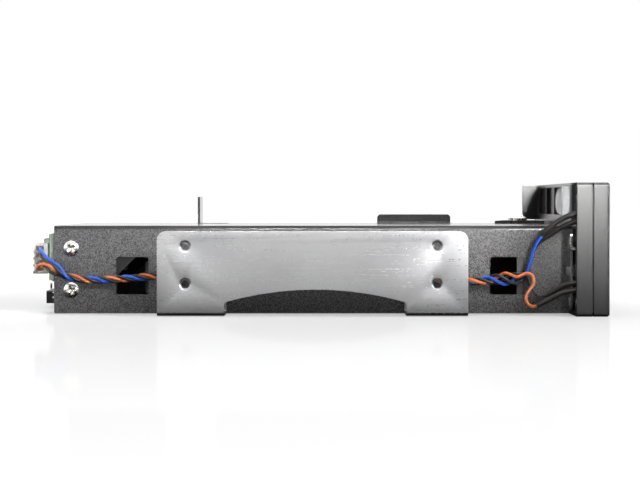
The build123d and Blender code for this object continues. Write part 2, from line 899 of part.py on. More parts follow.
def rear_contacts(middle, count):
    """Contact strips on top of a connector's tongue."""
    with BuildSketch(at_z(connector_bottom + connector_wall + blade_height)) as strips:
        strip_start = connector_rear + blade_setback + contact_setback
        strip_end = board_rear - connector_wall
        with Locations(((strip_start + strip_end) / 2, middle)):
            with GridLocations(0, contact_pitch, 1, count):
                Rectangle(strip_end - strip_start, contact_width)
    extrude(strips.sketch, amount=contact_thickness / 2)


with BuildPart() as power_connector:
    rear_connector(0, power_connector_width)
power_connector.part.label = "power_connector"
export_step(power_connector.part, "parts/power_connector.step")

with BuildPart() as power_contacts:
    rear_contacts(0, 15)
power_contacts.part.label = "power_contacts"
export_step(power_contacts.part, "parts/power_contacts.step")

with BuildPart() as data_connector:
    rear_connector(data_connector_centre, data_connector_width)
data_connector.part.label = "data_connector"
export_step(data_connector.part, "parts/data_connector.step")

with BuildPart() as data_contacts:
    rear_contacts(data_connector_centre, 7)
data_contacts.part.label = "data_contacts"
export_step(data_contacts.part, "parts/data_contacts.step")


# Capacitors: two cans on square bases.
with BuildPart() as capacitors:
    with BuildSketch(at_x(board_rear)) as bases:
        with Locations(*can_spots):
            Rectangle(can_base, can_base)
        chamfer(bases.vertices(), can_base_corner)
    extrude(amount=-can_base_height)
    discs(at_x(board_rear - can_base_height), can_spots, can_radius, -can_height)
    fillet(capacitors.edges().group_by(Axis.X)[0], can_rim)
capacitors.part.label = "capacitors"
export_step(capacitors.part, "parts/capacitors.step")


# Lead header: a white shroud on the board, open towards the near side.
plug_bottom = cage_bottom + plug_rise
plug_height = plug_pitch * plug_ways + 2 * plug_end_wall
plug_top = plug_bottom + plug_height
header_near_y = -header_far_y - header_width
with BuildPart() as led_header:
    with BuildSketch(at_y(-header_far_y)):
        rect(board_rear - header_depth, board_rear, plug_bottom, plug_top)
        rect(board_rear - header_depth / 2, board_rear, plug_top, plug_top + header_key_height)
    extrude(amount=header_width)
    with BuildSketch(at_y(header_near_y)):
        rect(
            board_rear - header_depth + header_wall,
            board_rear - header_wall,
            plug_bottom + header_wall,
            plug_top - header_wall,
        )
    extrude(amount=-(header_width - header_back_wall), mode=Mode.SUBTRACT)
led_header.part.label = "led_header"
export_step(led_header.part, "parts/led_header.step")

# Lead plug: its face shows one window for each way.
plug_near_y = header_near_y - plug_width
way_heights = [plug_bottom + plug_end_wall + plug_pitch * (n + 0.5) for n in range(plug_ways)]
plug_middle_x = board_rear - plug_depth / 2 - plug_setback
with BuildPart() as led_plug:
    with BuildSketch(at_y(header_near_y)) as plug_face:
        rect(
            plug_middle_x - plug_depth / 2,
            plug_middle_x + plug_depth / 2,
            plug_bottom,
            plug_top,
        )
        fillet(plug_face.vertices(), 0.3)
    extrude(amount=plug_width)
    # Ribs between the ways, as shallow grooves down the outer side
    with BuildSketch(at_y(header_near_y)):
        for height in way_heights:
            rect(
                plug_middle_x - plug_depth / 2,
                plug_middle_x - plug_depth / 2 + plug_groove,
                height - way_opening / 2,
                height + way_opening / 2,
            )
    extrude(amount=plug_width, mode=Mode.SUBTRACT)
    # Openings that the leads enter
    with BuildSketch(at_y(plug_near_y)):
        for height in way_heights:
            rect(
                plug_middle_x - way_width / 2,
                plug_middle_x + way_width / 2,
                height - way_opening / 2,
                height + way_opening / 2,
            )
    extrude(amount=-way_depth, mode=Mode.SUBTRACT)
led_plug.part.label = "led_plug"
export_step(led_plug.part, "parts/led_plug.step")


# Bezel frame: moulded ring behind the faceplate, with the drive's mouth, guides that reach
# into the cage, ribs on its back, two ears and the hooks of the cage's flanges.
mouth_half = drive_half + 2 * rail_clearance
ear_bottom_line = cage_top + ear_gap
ear_rear = bezel_back - ear_length
near_ear_bottom = ear_bottom_line + near_ear_rise
near_ear_top = bezel_height - near_ear_drop
with BuildPart() as bezel_frame:
    with BuildSketch(at_x(bezel_back)) as outline:
        rect(-bezel_half, bezel_half, 0, bezel_height)
        fillet(outline.vertices(), bezel_edge_radius)
    extrude(amount=frame_depth)
    with BuildSketch(at_x(frame_front)):
        rect(-bezel_half + seam_inset, bezel_half - seam_inset, seam_inset, bezel_height - seam_inset)
    extrude(amount=seam_width)
    # Room for the door's back, and the smaller mouth behind it
    with BuildSketch(at_x(bezel_back + frame_back_wall)):
        rect(opening_near, opening_far, opening_bottom, opening_top)
    extrude(amount=frame_depth + seam_width, mode=Mode.SUBTRACT)
    with BuildSketch(at_x(bezel_back - overshoot)) as mouth_cut:
        rect(-mouth_half, mouth_half, deck, ceiling)
        rect(
            mouth_half - overshoot,
            opening_far,
            slide_bottom - tongue_gap,
            arm_bottom + crank_arm_thickness + tongue_gap,
        )
    extrude(amount=frame_back_wall + 2 * overshoot, mode=Mode.SUBTRACT)
    # Guides on both sides of the mouth
    with BuildSketch(at_x(bezel_back - guide_length)):
        rect(-mouth_half - guide_wall, -mouth_half, deck + floor_inset, ceiling - floor_inset)
        rect(mouth_half, mouth_half + guide_wall, deck + floor_inset, ceiling - floor_inset)
    extrude(amount=guide_length + frame_back_wall)
    # Sunk fields between the ribs on the back
    with BuildSketch(at_x(bezel_back)):
        field_bottom = opening_top + rib_rail_height
        field_top = bezel_height - seam_inset
        with Locations((0, (field_bottom + field_top) / 2)):
            with GridLocations(rib_pitch, 0, 4, 1):
                Rectangle(rib_pitch - rib_width, field_top - field_bottom)
    extrude(amount=rib_height, mode=Mode.SUBTRACT)
    # Near ear and far ear
    near_ear_corner = min(near_ear_round * (near_ear_top - near_ear_bottom), near_ear_reach * ear_length)
    with BuildSketch(at_y(-near_ear_y)) as near_ear:
        rect(ear_rear, bezel_back, near_ear_bottom, near_ear_top)
        fillet(near_ear.vertices().group_by(Axis.X)[0], near_ear_corner)
    extrude(amount=ear_thickness)
    with BuildSketch(at_y(far_ear_y + ear_thickness)) as far_ear:
        rect(ear_rear, bezel_back, ear_bottom_line, bezel_height - far_ear_drop)
        fillet(far_ear.vertices().group_by(Axis.X)[0].sort_by(Axis.Y)[0], far_ear_corner)
    extrude(amount=ear_thickness)
    # Hooks over the outer edges of the flanges
    with BuildSketch(at_x(cage_front - cage_sheet)):
        hook_bottom = cage_bottom + hook_rise
        hook_top = hook_bottom + hook_thickness
        flange_edge = cage_half + flange_reach
        rect(-flange_edge - hook_reach, -flange_edge, hook_bottom, hook_top)
        rect(flange_edge, flange_edge + hook_reach, hook_bottom, hook_top)
    extrude(amount=cage_sheet + boss_height)
    # Bosses that the flanges sit on
    discs(at_x(cage_front), flange_screw_spots, boss_radius, boss_height)
    screw_bore = flange_screw_length + screw_tip_gap
    discs(at_x(cage_front), flange_screw_spots, small_screw_radius, screw_bore, Mode.SUBTRACT)
    # Pockets for the lamps and their sleeves, and the recess of the white clip
    with BuildSketch(at_x(bezel_back)):
        for height in lamp_rises:
            with Locations((lamp_y, height)):
                SlotOverall(pocket_height, pocket_width, rotation=90)
    extrude(amount=pocket_depth, mode=Mode.SUBTRACT)
    lamp_spots = [(lamp_y, height) for height in lamp_rises]
    seat_depth = pocket_depth + lamp_flange_thickness + lamp_seat_gap
    discs(at_x(bezel_back), lamp_spots, lamp_flange_radius + running_gap, seat_depth, Mode.SUBTRACT)
    discs(at_x(bezel_back), lamp_spots, lamp_radius + running_gap, 2 * frame_depth, Mode.SUBTRACT)
    with BuildSketch(at_x(bezel_back)):
        rect(clip_near, clip_far, clip_bottom, clip_top)
    extrude(amount=clip_seat, mode=Mode.SUBTRACT)
    # Screw holes into the faceplate
    bezel_screw_spots = [
        (side * (bezel_half - bezel_screw_inset), height)
        for side in (-1, 1)
        for height in (bezel_screw_rise, bezel_height - bezel_screw_drop)
    ]
    discs(at_x(bezel_back), bezel_screw_spots, small_head_radius, counterbore_depth, Mode.SUBTRACT)
    discs(at_x(bezel_back), bezel_screw_spots, small_screw_radius, 2 * frame_depth, Mode.SUBTRACT)
bezel_frame.part.label = "bezel_frame"
export_step(bezel_frame.part, "parts/bezel_frame.step")

with BuildPart() as bezel_screws:
    head_seat = bezel_back + counterbore_depth
    discs(at_x(head_seat - small_head_height), bezel_screw_spots, small_head_radius, small_head_height)
    discs(at_x(head_seat), bezel_screw_spots, small_screw_radius, plate_back + screw_bite - head_seat)
bezel_screws.part.label = "bezel_screws"
export_step(bezel_screws.part, "parts/bezel_screws.step")

with BuildPart() as flange_screws:
    discs(at_x(cage_front - cage_sheet), flange_screw_spots, small_head_radius, cage_sheet)
    discs(at_x(cage_front), flange_screw_spots, small_screw_radius, flange_screw_length)
flange_screws.part.label = "flange_screws"
export_step(flange_screws.part, "parts/flange_screws.step")

# Plate on the near ear's outer face: thin sheet with its front edge turned outwards.
plate_rear = ear_rear + ear_plate_setback
plate_front = bezel_back - ear_plate_front_gap
plate_face = -near_ear_y - ear_thickness
with BuildPart() as ear_plate:
    with BuildSketch(at_y(plate_face)):
        rect(plate_rear, plate_front, near_ear_bottom + ear_plate_rim, near_ear_top - ear_plate_rim)
    extrude(amount=ear_plate_thickness)
    with BuildSketch(at_y(plate_face - ear_plate_thickness)):
        rect(
            plate_front - ear_plate_thickness,
            plate_front,
            near_ear_bottom + ear_plate_rim,
            near_ear_top - ear_plate_rim,
        )
    extrude(amount=ear_plate_lip)
    fillet(ear_plate.edges().filter_by(Axis.Z).group_by(Axis.Y)[0], ear_plate_lip / 3)
ear_plate.part.label = "ear_plate"
export_step(ear_plate.part, "parts/ear_plate.step")


# White clip that stands through the near flange's slot.
with BuildPart() as bezel_clip:
    with BuildSketch(at_x(cage_front - cage_sheet - clip_reach)) as clip:
        rect(clip_near, clip_far, clip_bottom, clip_top)
    extrude(amount=clip_reach + cage_sheet + boss_height + clip_seat)
    fillet(bezel_clip.edges().group_by(Axis.X)[0], 0.3)
bezel_clip.part.label = "bezel_clip"
export_step(bezel_clip.part, "parts/bezel_clip.step")


# Faceplate: the front of the bezel, with the doorway.
with BuildPart() as faceplate:
    with BuildSketch(at_x(plate_back)) as face:
        rect(-bezel_half, bezel_half, 0, bezel_height)
        fillet(face.vertices(), bezel_edge_radius)
    extrude(amount=faceplate_depth)
    fillet(faceplate.edges().group_by(Axis.X)[-1], bezel_edge_radius * 0.9)
    with BuildSketch(at_x(plate_back)):
        rect(opening_near, opening_far, opening_bottom, opening_top)
    extrude(amount=faceplate_depth, mode=Mode.SUBTRACT)
    # Relief beside the hinge, so that the door can turn past square
    with BuildSketch(at_z(opening_bottom)):
        with BuildLine():
            Polyline(
                (front + overshoot, opening_far - overshoot),
                (front + overshoot, opening_far + hinge_relief + overshoot),
                (front - hinge_relief - overshoot, opening_far - overshoot),
                close=True,
            )
        make_face()
    extrude(amount=opening_top - opening_bottom, mode=Mode.SUBTRACT)
    # Catch for the latch
    with BuildSketch(at_x(plate_back)):
        rect(
            opening_near - latch_catch - latch_gap,
            opening_near,
            latch_rise + ground_gap - 2 * latch_gap,
            latch_rise + ground_gap + latch_height + 2 * latch_gap,
        )
    extrude(amount=faceplate_depth - door_skin + latch_gap, mode=Mode.SUBTRACT)
    discs(at_x(plate_back), lamp_spots, lamp_radius + running_gap, faceplate_depth, Mode.SUBTRACT)
    discs(at_x(plate_back), bezel_screw_spots, small_screw_radius, screw_bite, Mode.SUBTRACT)
    # Seats of the hinge pins
    pin_top = opening_top + hinge_pin_grip
    pin_span = pin_top - hinge_pin_seat
    discs(at_z(hinge_pin_seat), [(hinge_x, hinge_y)], hinge_pin_radius, pin_span, Mode.SUBTRACT)
faceplate.part.label = "faceplate"
export_step(faceplate.part, "parts/faceplate.step")


# Hinge pins: pressed into the faceplate, with the door turning on them.
with BuildPart() as hinge_pin_bottom:
    lower_span = door_bottom + hinge_pin_reach - hinge_pin_seat
    discs(at_z(hinge_pin_seat), [(hinge_x, hinge_y)], hinge_pin_radius, lower_span)
hinge_pin_bottom.part.label = "hinge_pin_bottom"
export_step(hinge_pin_bottom.part, "parts/hinge_pin_bottom.step")

with BuildPart() as hinge_pin_top:
    pin_bottom = door_top - hinge_pin_reach
    discs(at_z(pin_bottom), [(hinge_x, hinge_y)], hinge_pin_radius, pin_top - pin_bottom)
hinge_pin_top.part.label = "hinge_pin_top"
export_step(hinge_pin_top.part, "parts/hinge_pin_top.step")


# Door: a moulded leaf with a round hinge edge and a hollow, ribbed back.
cell_area = hinge_y - barrel_radius - door_near_edge - door_wall
cell_pitch = (cell_area + door_rib) / door_cells
cell_middle = door_near_edge + door_wall + cell_area / 2
latch_bottom = latch_rise + ground_gap
latch_top = latch_bottom + latch_height
cell_depth = faceplate_depth - door_skin
cover_screw_y = door_near_edge + cover_screw_inset
cover_screw_spots = [
    (cover_screw_y, latch_bottom - cover_screw_step),
    (cover_screw_y, latch_top + cover_screw_step),
]
with BuildPart() as door:
    with BuildSketch(at_z(door_bottom)):
        rect(plate_back, front, door_near_edge, hinge_y)
        with Locations((hinge_x, hinge_y)):
            Circle(barrel_radius)
    extrude(amount=door_height)
    edges = door.edges().filter_by(Axis.Y).group_by(Axis.X)[-1]
    fillet(edges, door_gap)
    with BuildSketch(at_x(plate_back)):
        with Locations((cell_middle, (door_bottom + door_top) / 2)):
            with GridLocations(cell_pitch, 0, door_cells, 1):
                Rectangle(cell_pitch - door_rib, door_height - 2 * door_wall)
    extrude(amount=cell_depth, mode=Mode.SUBTRACT)
    # Level clearance for the ejector's tongue, with a thinner skin
    with BuildSketch(at_z(tongue_bottom - tongue_gap)):
        rect(plate_back, front - door_thin_skin, slot_low - 4 * tongue_web, door_far_edge)
    extrude(amount=arm_bottom - tongue_bottom + tongue_gap, mode=Mode.SUBTRACT)
    # Crank arm, from the hinge barrel to its pin
    with BuildSketch(at_z(arm_bottom)):
        with BuildLine():
            Polyline(
                (hinge_x - 1.2, hinge_y + 1.4),
                (crank_x - 1.0, crank_y + 1.2),
                (crank_x + 0.9, crank_y - 1.4),
                (hinge_x + 1.5, hinge_y - 2.4),
                close=True,
            )
        make_face()
        with Locations((crank_x, crank_y)):
            Circle(crank_boss_radius)
    extrude(amount=crank_arm_thickness)
    discs(at_z(arm_bottom), [(crank_x, crank_y)], crank_pin_radius, crank_arm_thickness, Mode.SUBTRACT)
    # Bores for the hinge pins
    bore_radius = hinge_pin_radius + running_gap
    bore_depth = hinge_pin_reach + door_gap
    discs(at_z(door_bottom), [(hinge_x, hinge_y)], bore_radius, bore_depth, Mode.SUBTRACT)
    discs(at_z(door_top), [(hinge_x, hinge_y)], bore_radius, -bore_depth, Mode.SUBTRACT)
    # Latch: the slot in the edge, the finger opening in the skin and the cover's bosses
    with BuildSketch(at_x(plate_back)):
        rect(door_near_edge, door_near_edge + door_wall, latch_bottom - latch_gap, latch_top + latch_gap)
    extrude(amount=cell_depth, mode=Mode.SUBTRACT)
    finger_near = door_near_edge + finger_inset
    with BuildSketch(at_x(front - door_skin)):
        rect(
            finger_near - latch_gap,
            finger_near + finger_length + latch_travel + latch_gap,
            latch_bottom - latch_gap,
            latch_top + latch_gap,
        )
    extrude(amount=door_skin, mode=Mode.SUBTRACT)
    discs(at_x(plate_back), cover_screw_spots, boss_radius - 0.3, cell_depth)
    discs(at_x(plate_back), cover_screw_spots, small_screw_radius, cell_depth, Mode.SUBTRACT)
door.part.label = "door"
export_step(door.part, "parts/door.step")

# Crank pin: pressed into the arm, reaching down through the tongue's slot.
with BuildPart() as crank_pin:
    pin_low = tongue_bottom - tongue_gap
    discs(at_z(pin_low), [(crank_x, crank_y)], crank_pin_radius, arm_bottom + crank_arm_thickness - pin_low)
crank_pin.part.label = "crank_pin"
export_step(crank_pin.part, "parts/crank_pin.step")


# Door latch: a slider with a bevelled catch and a ribbed finger piece flush with the door.
latch_back = plate_back + latch_back_gap
latch_front = front - door_skin - latch_gap
latch_tip = opening_near - latch_catch + 0.3
latch_end = latch_tip + latch_length
with BuildPart() as door_latch:
    with BuildSketch(at_z(latch_bottom)) as latch_plan:
        rect(latch_back, latch_front, latch_tip, latch_end)
        tip = latch_plan.vertices().group_by(Axis.Y)[0].sort_by(Axis.X)[0]
        chamfer(tip, latch_catch * 0.8)
    extrude(amount=latch_height)
    with BuildSketch(at_x(latch_front)):
        rect(finger_near, finger_near + finger_length, latch_bottom + 0.05, latch_top - 0.05)
    extrude(amount=front - finger_setback - latch_front)
    # Grip grooves
    with BuildSketch(at_x(front - finger_setback)):
        with Locations((finger_near + finger_length / 2, (latch_bottom + latch_top) / 2)):
            with GridLocations(1.4, 0, 4, 1):
                Rectangle(0.6, latch_height)
    extrude(amount=-0.5, mode=Mode.SUBTRACT)
door_latch.part.label = "door_latch"
export_step(door_latch.part, "parts/door_latch.step")

# Latch spring: a bent strip between the slider's end and the door's first rib.
first_rib = cell_middle - cell_pitch * (door_cells / 2 - 1) - door_rib / 2
spring_x = (latch_back + latch_front) / 2
spring_near = latch_end + 0.1
spring_far = first_rib - 0.1
with BuildPart() as latch_spring:
    with BuildSketch(at_z((latch_bottom + latch_top - spring_height) / 2)):
        with BuildLine() as leaf:
            Polyline(
                (spring_x - 0.7, spring_near + 0.2),
                (spring_x + 1.0, spring_near + (spring_far - spring_near) * 0.25),
                (spring_x - 0.9, (spring_near + spring_far) / 2),
                (spring_x + 1.0, spring_near + (spring_far - spring_near) * 0.75),
                (spring_x - 0.7, spring_far - 0.2),
            )
            offset(amount=spring_thickness / 2, kind=Kind.ARC)
        make_face()
    extrude(amount=spring_height)
latch_spring.part.label = "latch_spring"
export_step(latch_spring.part, "parts/latch_spring.step")

# Latch cover: a plate over the latch and its spring, on the door's back.
with BuildPart() as latch_cover:
    with BuildSketch(at_x(plate_back - cover_thickness)) as cover:
        rect(door_near_edge + 0.8, first_rib + door_rib, latch_bottom - cover_reach, latch_top + cover_reach)
        fillet(cover.vertices(), 1.0)
        with Locations(*cover_screw_spots):
            Circle(small_screw_radius, mode=Mode.SUBTRACT)
    extrude(amount=cover_thickness)
latch_cover.part.label = "latch_cover"
export_step(latch_cover.part, "parts/latch_cover.step")

with BuildPart() as cover_screws:
    headed(
        at_x(plate_back - cover_thickness),
        cover_screw_spots,
        small_head_radius,
        -small_head_height,
        small_screw_radius,
        -(cover_thickness + cell_depth),
    )
cover_screws.part.label = "cover_screws"
export_step(cover_screws.part, "parts/cover_screws.step")


# Lamps: a domed body through the bezel with its flange in the frame's pocket.

def lamp(height):
    """One lamp on its axis at the given height."""
    discs(at_x(lamp_base), [(lamp_y, height)], lamp_flange_radius, lamp_flange_thickness)
    discs(at_x(lamp_base), [(lamp_y, height)], lamp_radius, front - 0.1 - lamp_base)


with BuildPart() as power_led:
    lamp(lamp_rises[1])
    fillet(power_led.edges().group_by(Axis.X)[-1], lamp_radius * 0.8)
power_led.part.label = "power_led"
export_step(power_led.part, "parts/power_led.step")

with BuildPart() as activity_led:
    lamp(lamp_rises[0])
    fillet(activity_led.edges().group_by(Axis.X)[-1], lamp_radius * 0.8)
activity_led.part.label = "activity_led"
export_step(activity_led.part, "parts/activity_led.step")


# Leads. Each tube follows chosen points, with arcs as large as its runs allow.
def corner_radii(points):
    """The radius at each inner point: 0.45 of the shorter run over the tangent of half the turn."""
    radii = []
    vectors = [Vector(*p) for p in points]
    for before, here, after in zip(vectors, vectors[1:], vectors[2:]):
        run_in = here - before
        run_out = after - here
        half = radians(run_in.get_angle(run_out)) / 2
        radii.append(0.45 * min(run_in.length, run_out.length) / tan(half))
    return radii


def tube(points, diameter, name):
    """A round tube along the points; it prints its tightest radius and how full its volume is."""
    radii = corner_radii(points)
    with BuildPart() as lead:
        with BuildLine() as route:
            FilletPolyline(*points, radius=radii)
        path = route.wire()
        with BuildSketch(Plane(origin=path @ 0, z_dir=path % 0)):
            Circle(diameter / 2)
        sweep(path=path)
    expected = path.length * pi * diameter**2 / 4
    print(name, "radii", [round(r, 1) for r in radii], "volume", round(lead.part.volume / expected, 4))
    lead.part.label = name
    export_step(lead.part, f"parts/{name}.step")


# The bundle from behind the plug, past the wall and behind the bracket, to where it parts. The
# points are a place along the cage, a distance out of its near wall and a height over its bottom.
from_rear = [
    (4.8, 5.0, 11.95),
    (10.1, 4.4, 10.95),
    (15.3, 3.9, 10.65),
    (21.0, 3.6, 11.65),
    (27.2, 3.7, 12.05),
    (33.1, 4.6, 12.75),
    (41.6, 6.5, 12.35),
    (56.6, 7.5, 13.15),
    (78.6, 6.0, 12.15),
]
from_front = [
    (65.0, 7.4, 11.35),
    (47.0, 6.2, 10.75),
    (35.5, 4.8, 10.95),
    (29.2, 4.4, 10.45),
    (24.6, 4.6, 11.35),
    (20.4, 5.4, 11.65),
]
rear_run = [(cage_rear + x, -cage_half - out, cage_bottom + up) for x, out, up in from_rear]
front_run = [(cage_front - x, -cage_half - out, cage_bottom + up) for x, out, up in from_front]
bundle_route = rear_run + front_run
tube(bundle_route, bundle_diameter, "lead_bundle")


def along(start, towards, run):
    """The point a run away from the start, in line with the point it heads towards."""
    heading = (Vector(*towards) - Vector(*start)).normalized()
    return tuple(Vector(*start) + heading * run)


def beside(middle, towards, side, rise):
    """A point beside the middle, square to the heading: the side is level and the rise is upright."""
    heading = (Vector(*towards) - Vector(*middle)).normalized()
    level = heading.cross(Vector(0, 0, 1)).normalized()
    upright = level.cross(heading)
    return tuple(Vector(*middle) + level * side + upright * rise)


# Where each lead meets the bundle's ends: four round its axis, each square to the end
lead_reach = 0.62
square_run = 1.6
plug_exit_x = plug_middle_x
plug_names = ["plug_lead_one", "plug_lead_two", "plug_lead_three", "plug_lead_four"]
plug_sides = [(1, 1), (-1, 1), (-1, -1), (1, -1)]
for name, height, (side, rise) in zip(plug_names, reversed(way_heights), plug_sides):
    join = beside(bundle_route[0], bundle_route[1], side * lead_reach, rise * lead_reach)
    drop = join[2] - height
    tube(
        [
            (plug_exit_x, plug_near_y + way_depth, height),
            (plug_exit_x + 0.1, plug_near_y - 2.0, height - 0.15),
            (plug_exit_x + 1.6, plug_near_y - 4.9 - side * 0.3, height + drop * 0.2),
            (plug_exit_x + 4.2, plug_near_y - 6.6 - side * 0.5, height + drop * 0.55),
            tuple(
                Vector(*join)
                + (Vector(*bundle_route[0]) - Vector(*bundle_route[1])).normalized() * square_run
            ),
            join,
        ],
        wire_diameter,
        name,
    )

# Shrink sleeves over the joints, into the pockets behind the lamps
sleeve_end_x = lamp_base - 0.3
pin_reach = 1.15
upper = lamp_rises[1]
lower = lamp_rises[0]
sleeve_routes = {
    "power_sleeve_plus": [
        (71.0, -66.2, 24.9),
        (74.4, -67.8, 28.2),
        (79.0, -69.7, 31.8),
        (sleeve_end_x, lamp_y, upper + pin_reach),
    ],
    "power_sleeve_minus": [
        (70.6, -63.8, 23.4),
        (74.4, -65.8, 26.3),
        (79.2, -69.3, 29.6),
        (sleeve_end_x, lamp_y, upper - pin_reach),
    ],
    "activity_sleeve_plus": [
        (74.0, -68.4, 5.5),
        (76.9, -69.2, 8.1),
        (80.1, -69.9, 10.2),
        (sleeve_end_x, lamp_y, lower + pin_reach),
    ],
    "activity_sleeve_minus": [
        (74.6, -66.8, 5.4),
        (77.4, -67.8, 6.6),
        (80.4, -69.6, 7.8),
        (sleeve_end_x, lamp_y, lower - pin_reach),
    ],
}

# Tails from the bundle's end: where each sits round the axis, its way, and the sleeve it enters
tails = [
    ("power_lead_plus", (1, 1), [(64.8, -62.3, 13.3), (66.9, -63.3, 15.4), (68.1, -64.2, 18.4), (68.9, -65.0, 21.4)]),
    ("power_lead_minus", (-1, 1), [(64.9, -60.3, 12.6), (67.2, -61.1, 14.4), (68.4, -62.0, 17.2), (68.9, -62.7, 20.2)]),
    (
        "activity_lead_plus",
        (1, -1),
        [
            (64.2, -62.2, 11.4),
            (66.4, -63.4, 10.5),
            (67.3, -64.8, 8.4),
            (66.8, -66.2, 6.2),
            (67.4, -66.9, 4.3),
            (69.1, -67.5, 3.1),
            (71.4, -67.9, 3.3),
        ],
    ),
    (
        "activity_lead_minus",
        (-1, -1),
        [(64.0, -60.7, 10.1), (66.3, -61.8, 7.9), (68.0, -63.2, 5.4), (70.1, -64.6, 3.8)],
    ),
]
for name, (side, rise), way in tails:
    sleeve = sleeve_routes[name.replace("lead", "sleeve")]
    last, one_before = bundle_route[-1], bundle_route[-2]
    ahead = along(last, one_before, -square_run)
    join = beside(last, ahead, side * lead_reach, rise * lead_reach)
    leave = tuple(Vector(*join) + Vector(*ahead) - Vector(*last))
    tube([join, leave, *way, along(sleeve[0], sleeve[1], -square_run), sleeve[0]], wire_diameter, name)

for name, route in sleeve_routes.items():
    tube(route, sleeve_diameter, name)

print("door opens", round(degrees(2 * half_turn), 1), "degrees and moves the ejector", round(ejector_travel, 3), "mm")
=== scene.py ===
import math

import bmesh
import bpy
import numpy as np
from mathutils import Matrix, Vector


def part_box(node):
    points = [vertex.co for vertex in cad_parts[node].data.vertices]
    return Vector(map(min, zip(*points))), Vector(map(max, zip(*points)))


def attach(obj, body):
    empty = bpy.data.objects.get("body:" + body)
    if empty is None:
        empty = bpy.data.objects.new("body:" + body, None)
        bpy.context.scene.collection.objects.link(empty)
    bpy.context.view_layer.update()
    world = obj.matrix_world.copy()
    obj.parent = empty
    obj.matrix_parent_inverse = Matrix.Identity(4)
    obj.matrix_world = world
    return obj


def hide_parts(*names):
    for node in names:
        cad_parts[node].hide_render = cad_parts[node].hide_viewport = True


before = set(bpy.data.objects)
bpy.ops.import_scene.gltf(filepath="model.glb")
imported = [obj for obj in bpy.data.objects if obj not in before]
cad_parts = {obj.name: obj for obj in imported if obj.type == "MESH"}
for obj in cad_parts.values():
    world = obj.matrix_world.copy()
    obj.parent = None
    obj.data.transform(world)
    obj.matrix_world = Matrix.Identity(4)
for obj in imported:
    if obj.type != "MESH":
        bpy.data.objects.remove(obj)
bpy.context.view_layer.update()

# The camera stands square to the near side, three quarters of a metre from the silver bracket and
# a little above the cage's top, and looks down by under one degree.
bracket_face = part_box("side_bracket_left")[0].y
camera = bpy.data.objects.new("camera", bpy.data.cameras.new("camera"))
bpy.context.scene.collection.objects.link(camera)
camera.location = (0.001, bracket_face - 0.75, 0.03605)
camera.rotation_euler = (math.radians(90 - 0.912), 0, 0)
camera.data.lens = 134.27
camera.data.sensor_width = 36
camera.data.clip_start = 0.01
bpy.context.scene.camera = camera


# Lamp lead: four thin PVC wires from the plug on the backplane to the two lamps. By hand they are
# twisted together past the wall and behind the bracket, and they part behind the bezel.
def spline_points(name, route, steps):
    """Points of the smooth line that the route's points control, read from a NURBS curve."""
    curve = bpy.data.curves.new(name, "CURVE")
    curve.dimensions = "3D"
    curve.resolution_u = steps
    spline = curve.splines.new("NURBS")
    spline.points.add(len(route) - 1)
    spline.points.foreach_set("co", np.c_[np.array(route), np.ones(len(route))].ravel())
    spline.order_u = 3
    spline.use_endpoint_u = True
    carrier = bpy.data.objects.new(name, curve)
    bpy.context.scene.collection.objects.link(carrier)
    line = bpy.data.meshes.new_from_object(carrier.evaluated_get(bpy.context.evaluated_depsgraph_get()))
    points = np.empty(len(line.vertices) * 3, np.float32)
    line.vertices.foreach_get("co", points)
    bpy.data.objects.remove(carrier)
    bpy.data.curves.remove(curve)
    bpy.data.meshes.remove(line)
    return points.reshape(-1, 3).astype(float)


def ramp(values, start, end):
    """0 before the start, 1 after the end, and 3t^2 - 2t^3 between them."""
    t = np.clip((values - start) / (end - start), 0, 1)
    return t * t * (3 - 2 * t)


def unit(vectors):
    """Each row divided by its length."""
    return vectors / np.linalg.norm(vectors, axis=1, keepdims=True)


def new_piece(name, vertices, faces, smooth=True):
    """A mesh object at the origin, with equal corners merged and the faces of closed shapes outwards."""
    mesh = bpy.data.meshes.new(name)
    mesh.from_pydata(vertices.tolist(), [], faces.tolist())
    welded = bmesh.new()
    welded.from_mesh(mesh)
    bmesh.ops.remove_doubles(welded, verts=welded.verts, dist=1e-7)
    bmesh.ops.recalc_face_normals(welded, faces=welded.faces)
    welded.to_mesh(mesh)
    welded.free()
    mesh.validate()
    mesh.polygons.foreach_set("use_smooth", np.full(len(mesh.polygons), smooth))
    piece = bpy.data.objects.new(name, mesh)
    bpy.context.scene.collection.objects.link(piece)
    return piece


def grid_faces(rows, columns, closed):
    """Quads between neighbours of a rows x columns grid; closed joins the last column to the first."""
    across = np.arange(columns if closed else columns - 1)
    down = np.arange(rows - 1)[:, None]
    here = down * columns + across
    right = down * columns + (across + 1) % columns
    return np.stack([here, right, right + columns, here + columns], -1).reshape(-1, 4)


def tube_piece(name, path, radii, sides=12):
    """A tube: ring j is path[j] + radii[j] (cos a * side + sin a * up), and both ends are closed. The side
    stands square to Z where the wires run level, and to Y where they climb behind the bezel."""
    heading = unit(np.gradient(path, axis=0))
    climb = ramp(path[:, :1], 0.05, 0.058)
    reference = (1 - climb) * np.array([0.0, 0.0, 1.0]) + climb * np.array([0.0, 1.0, 0.0])
    side = unit(np.cross(heading, reference))
    up = np.cross(side, heading)
    rings = np.r_[path[:1], path, path[-1:]]
    radii = np.r_[0, radii, 0]
    side = np.r_[side[:1], side, side[-1:]]
    up = np.r_[up[:1], up, up[-1:]]
    angle = np.linspace(0, 2 * np.pi, sides, endpoint=False)[None, :, None]
    ring = np.cos(angle) * side[:, None] + np.sin(angle) * up[:, None]
    vertices = rings[:, None] + radii[:, None, None] * ring
    return new_piece(name, vertices.reshape(-1, 3), grid_faces(len(rings), sides, True))


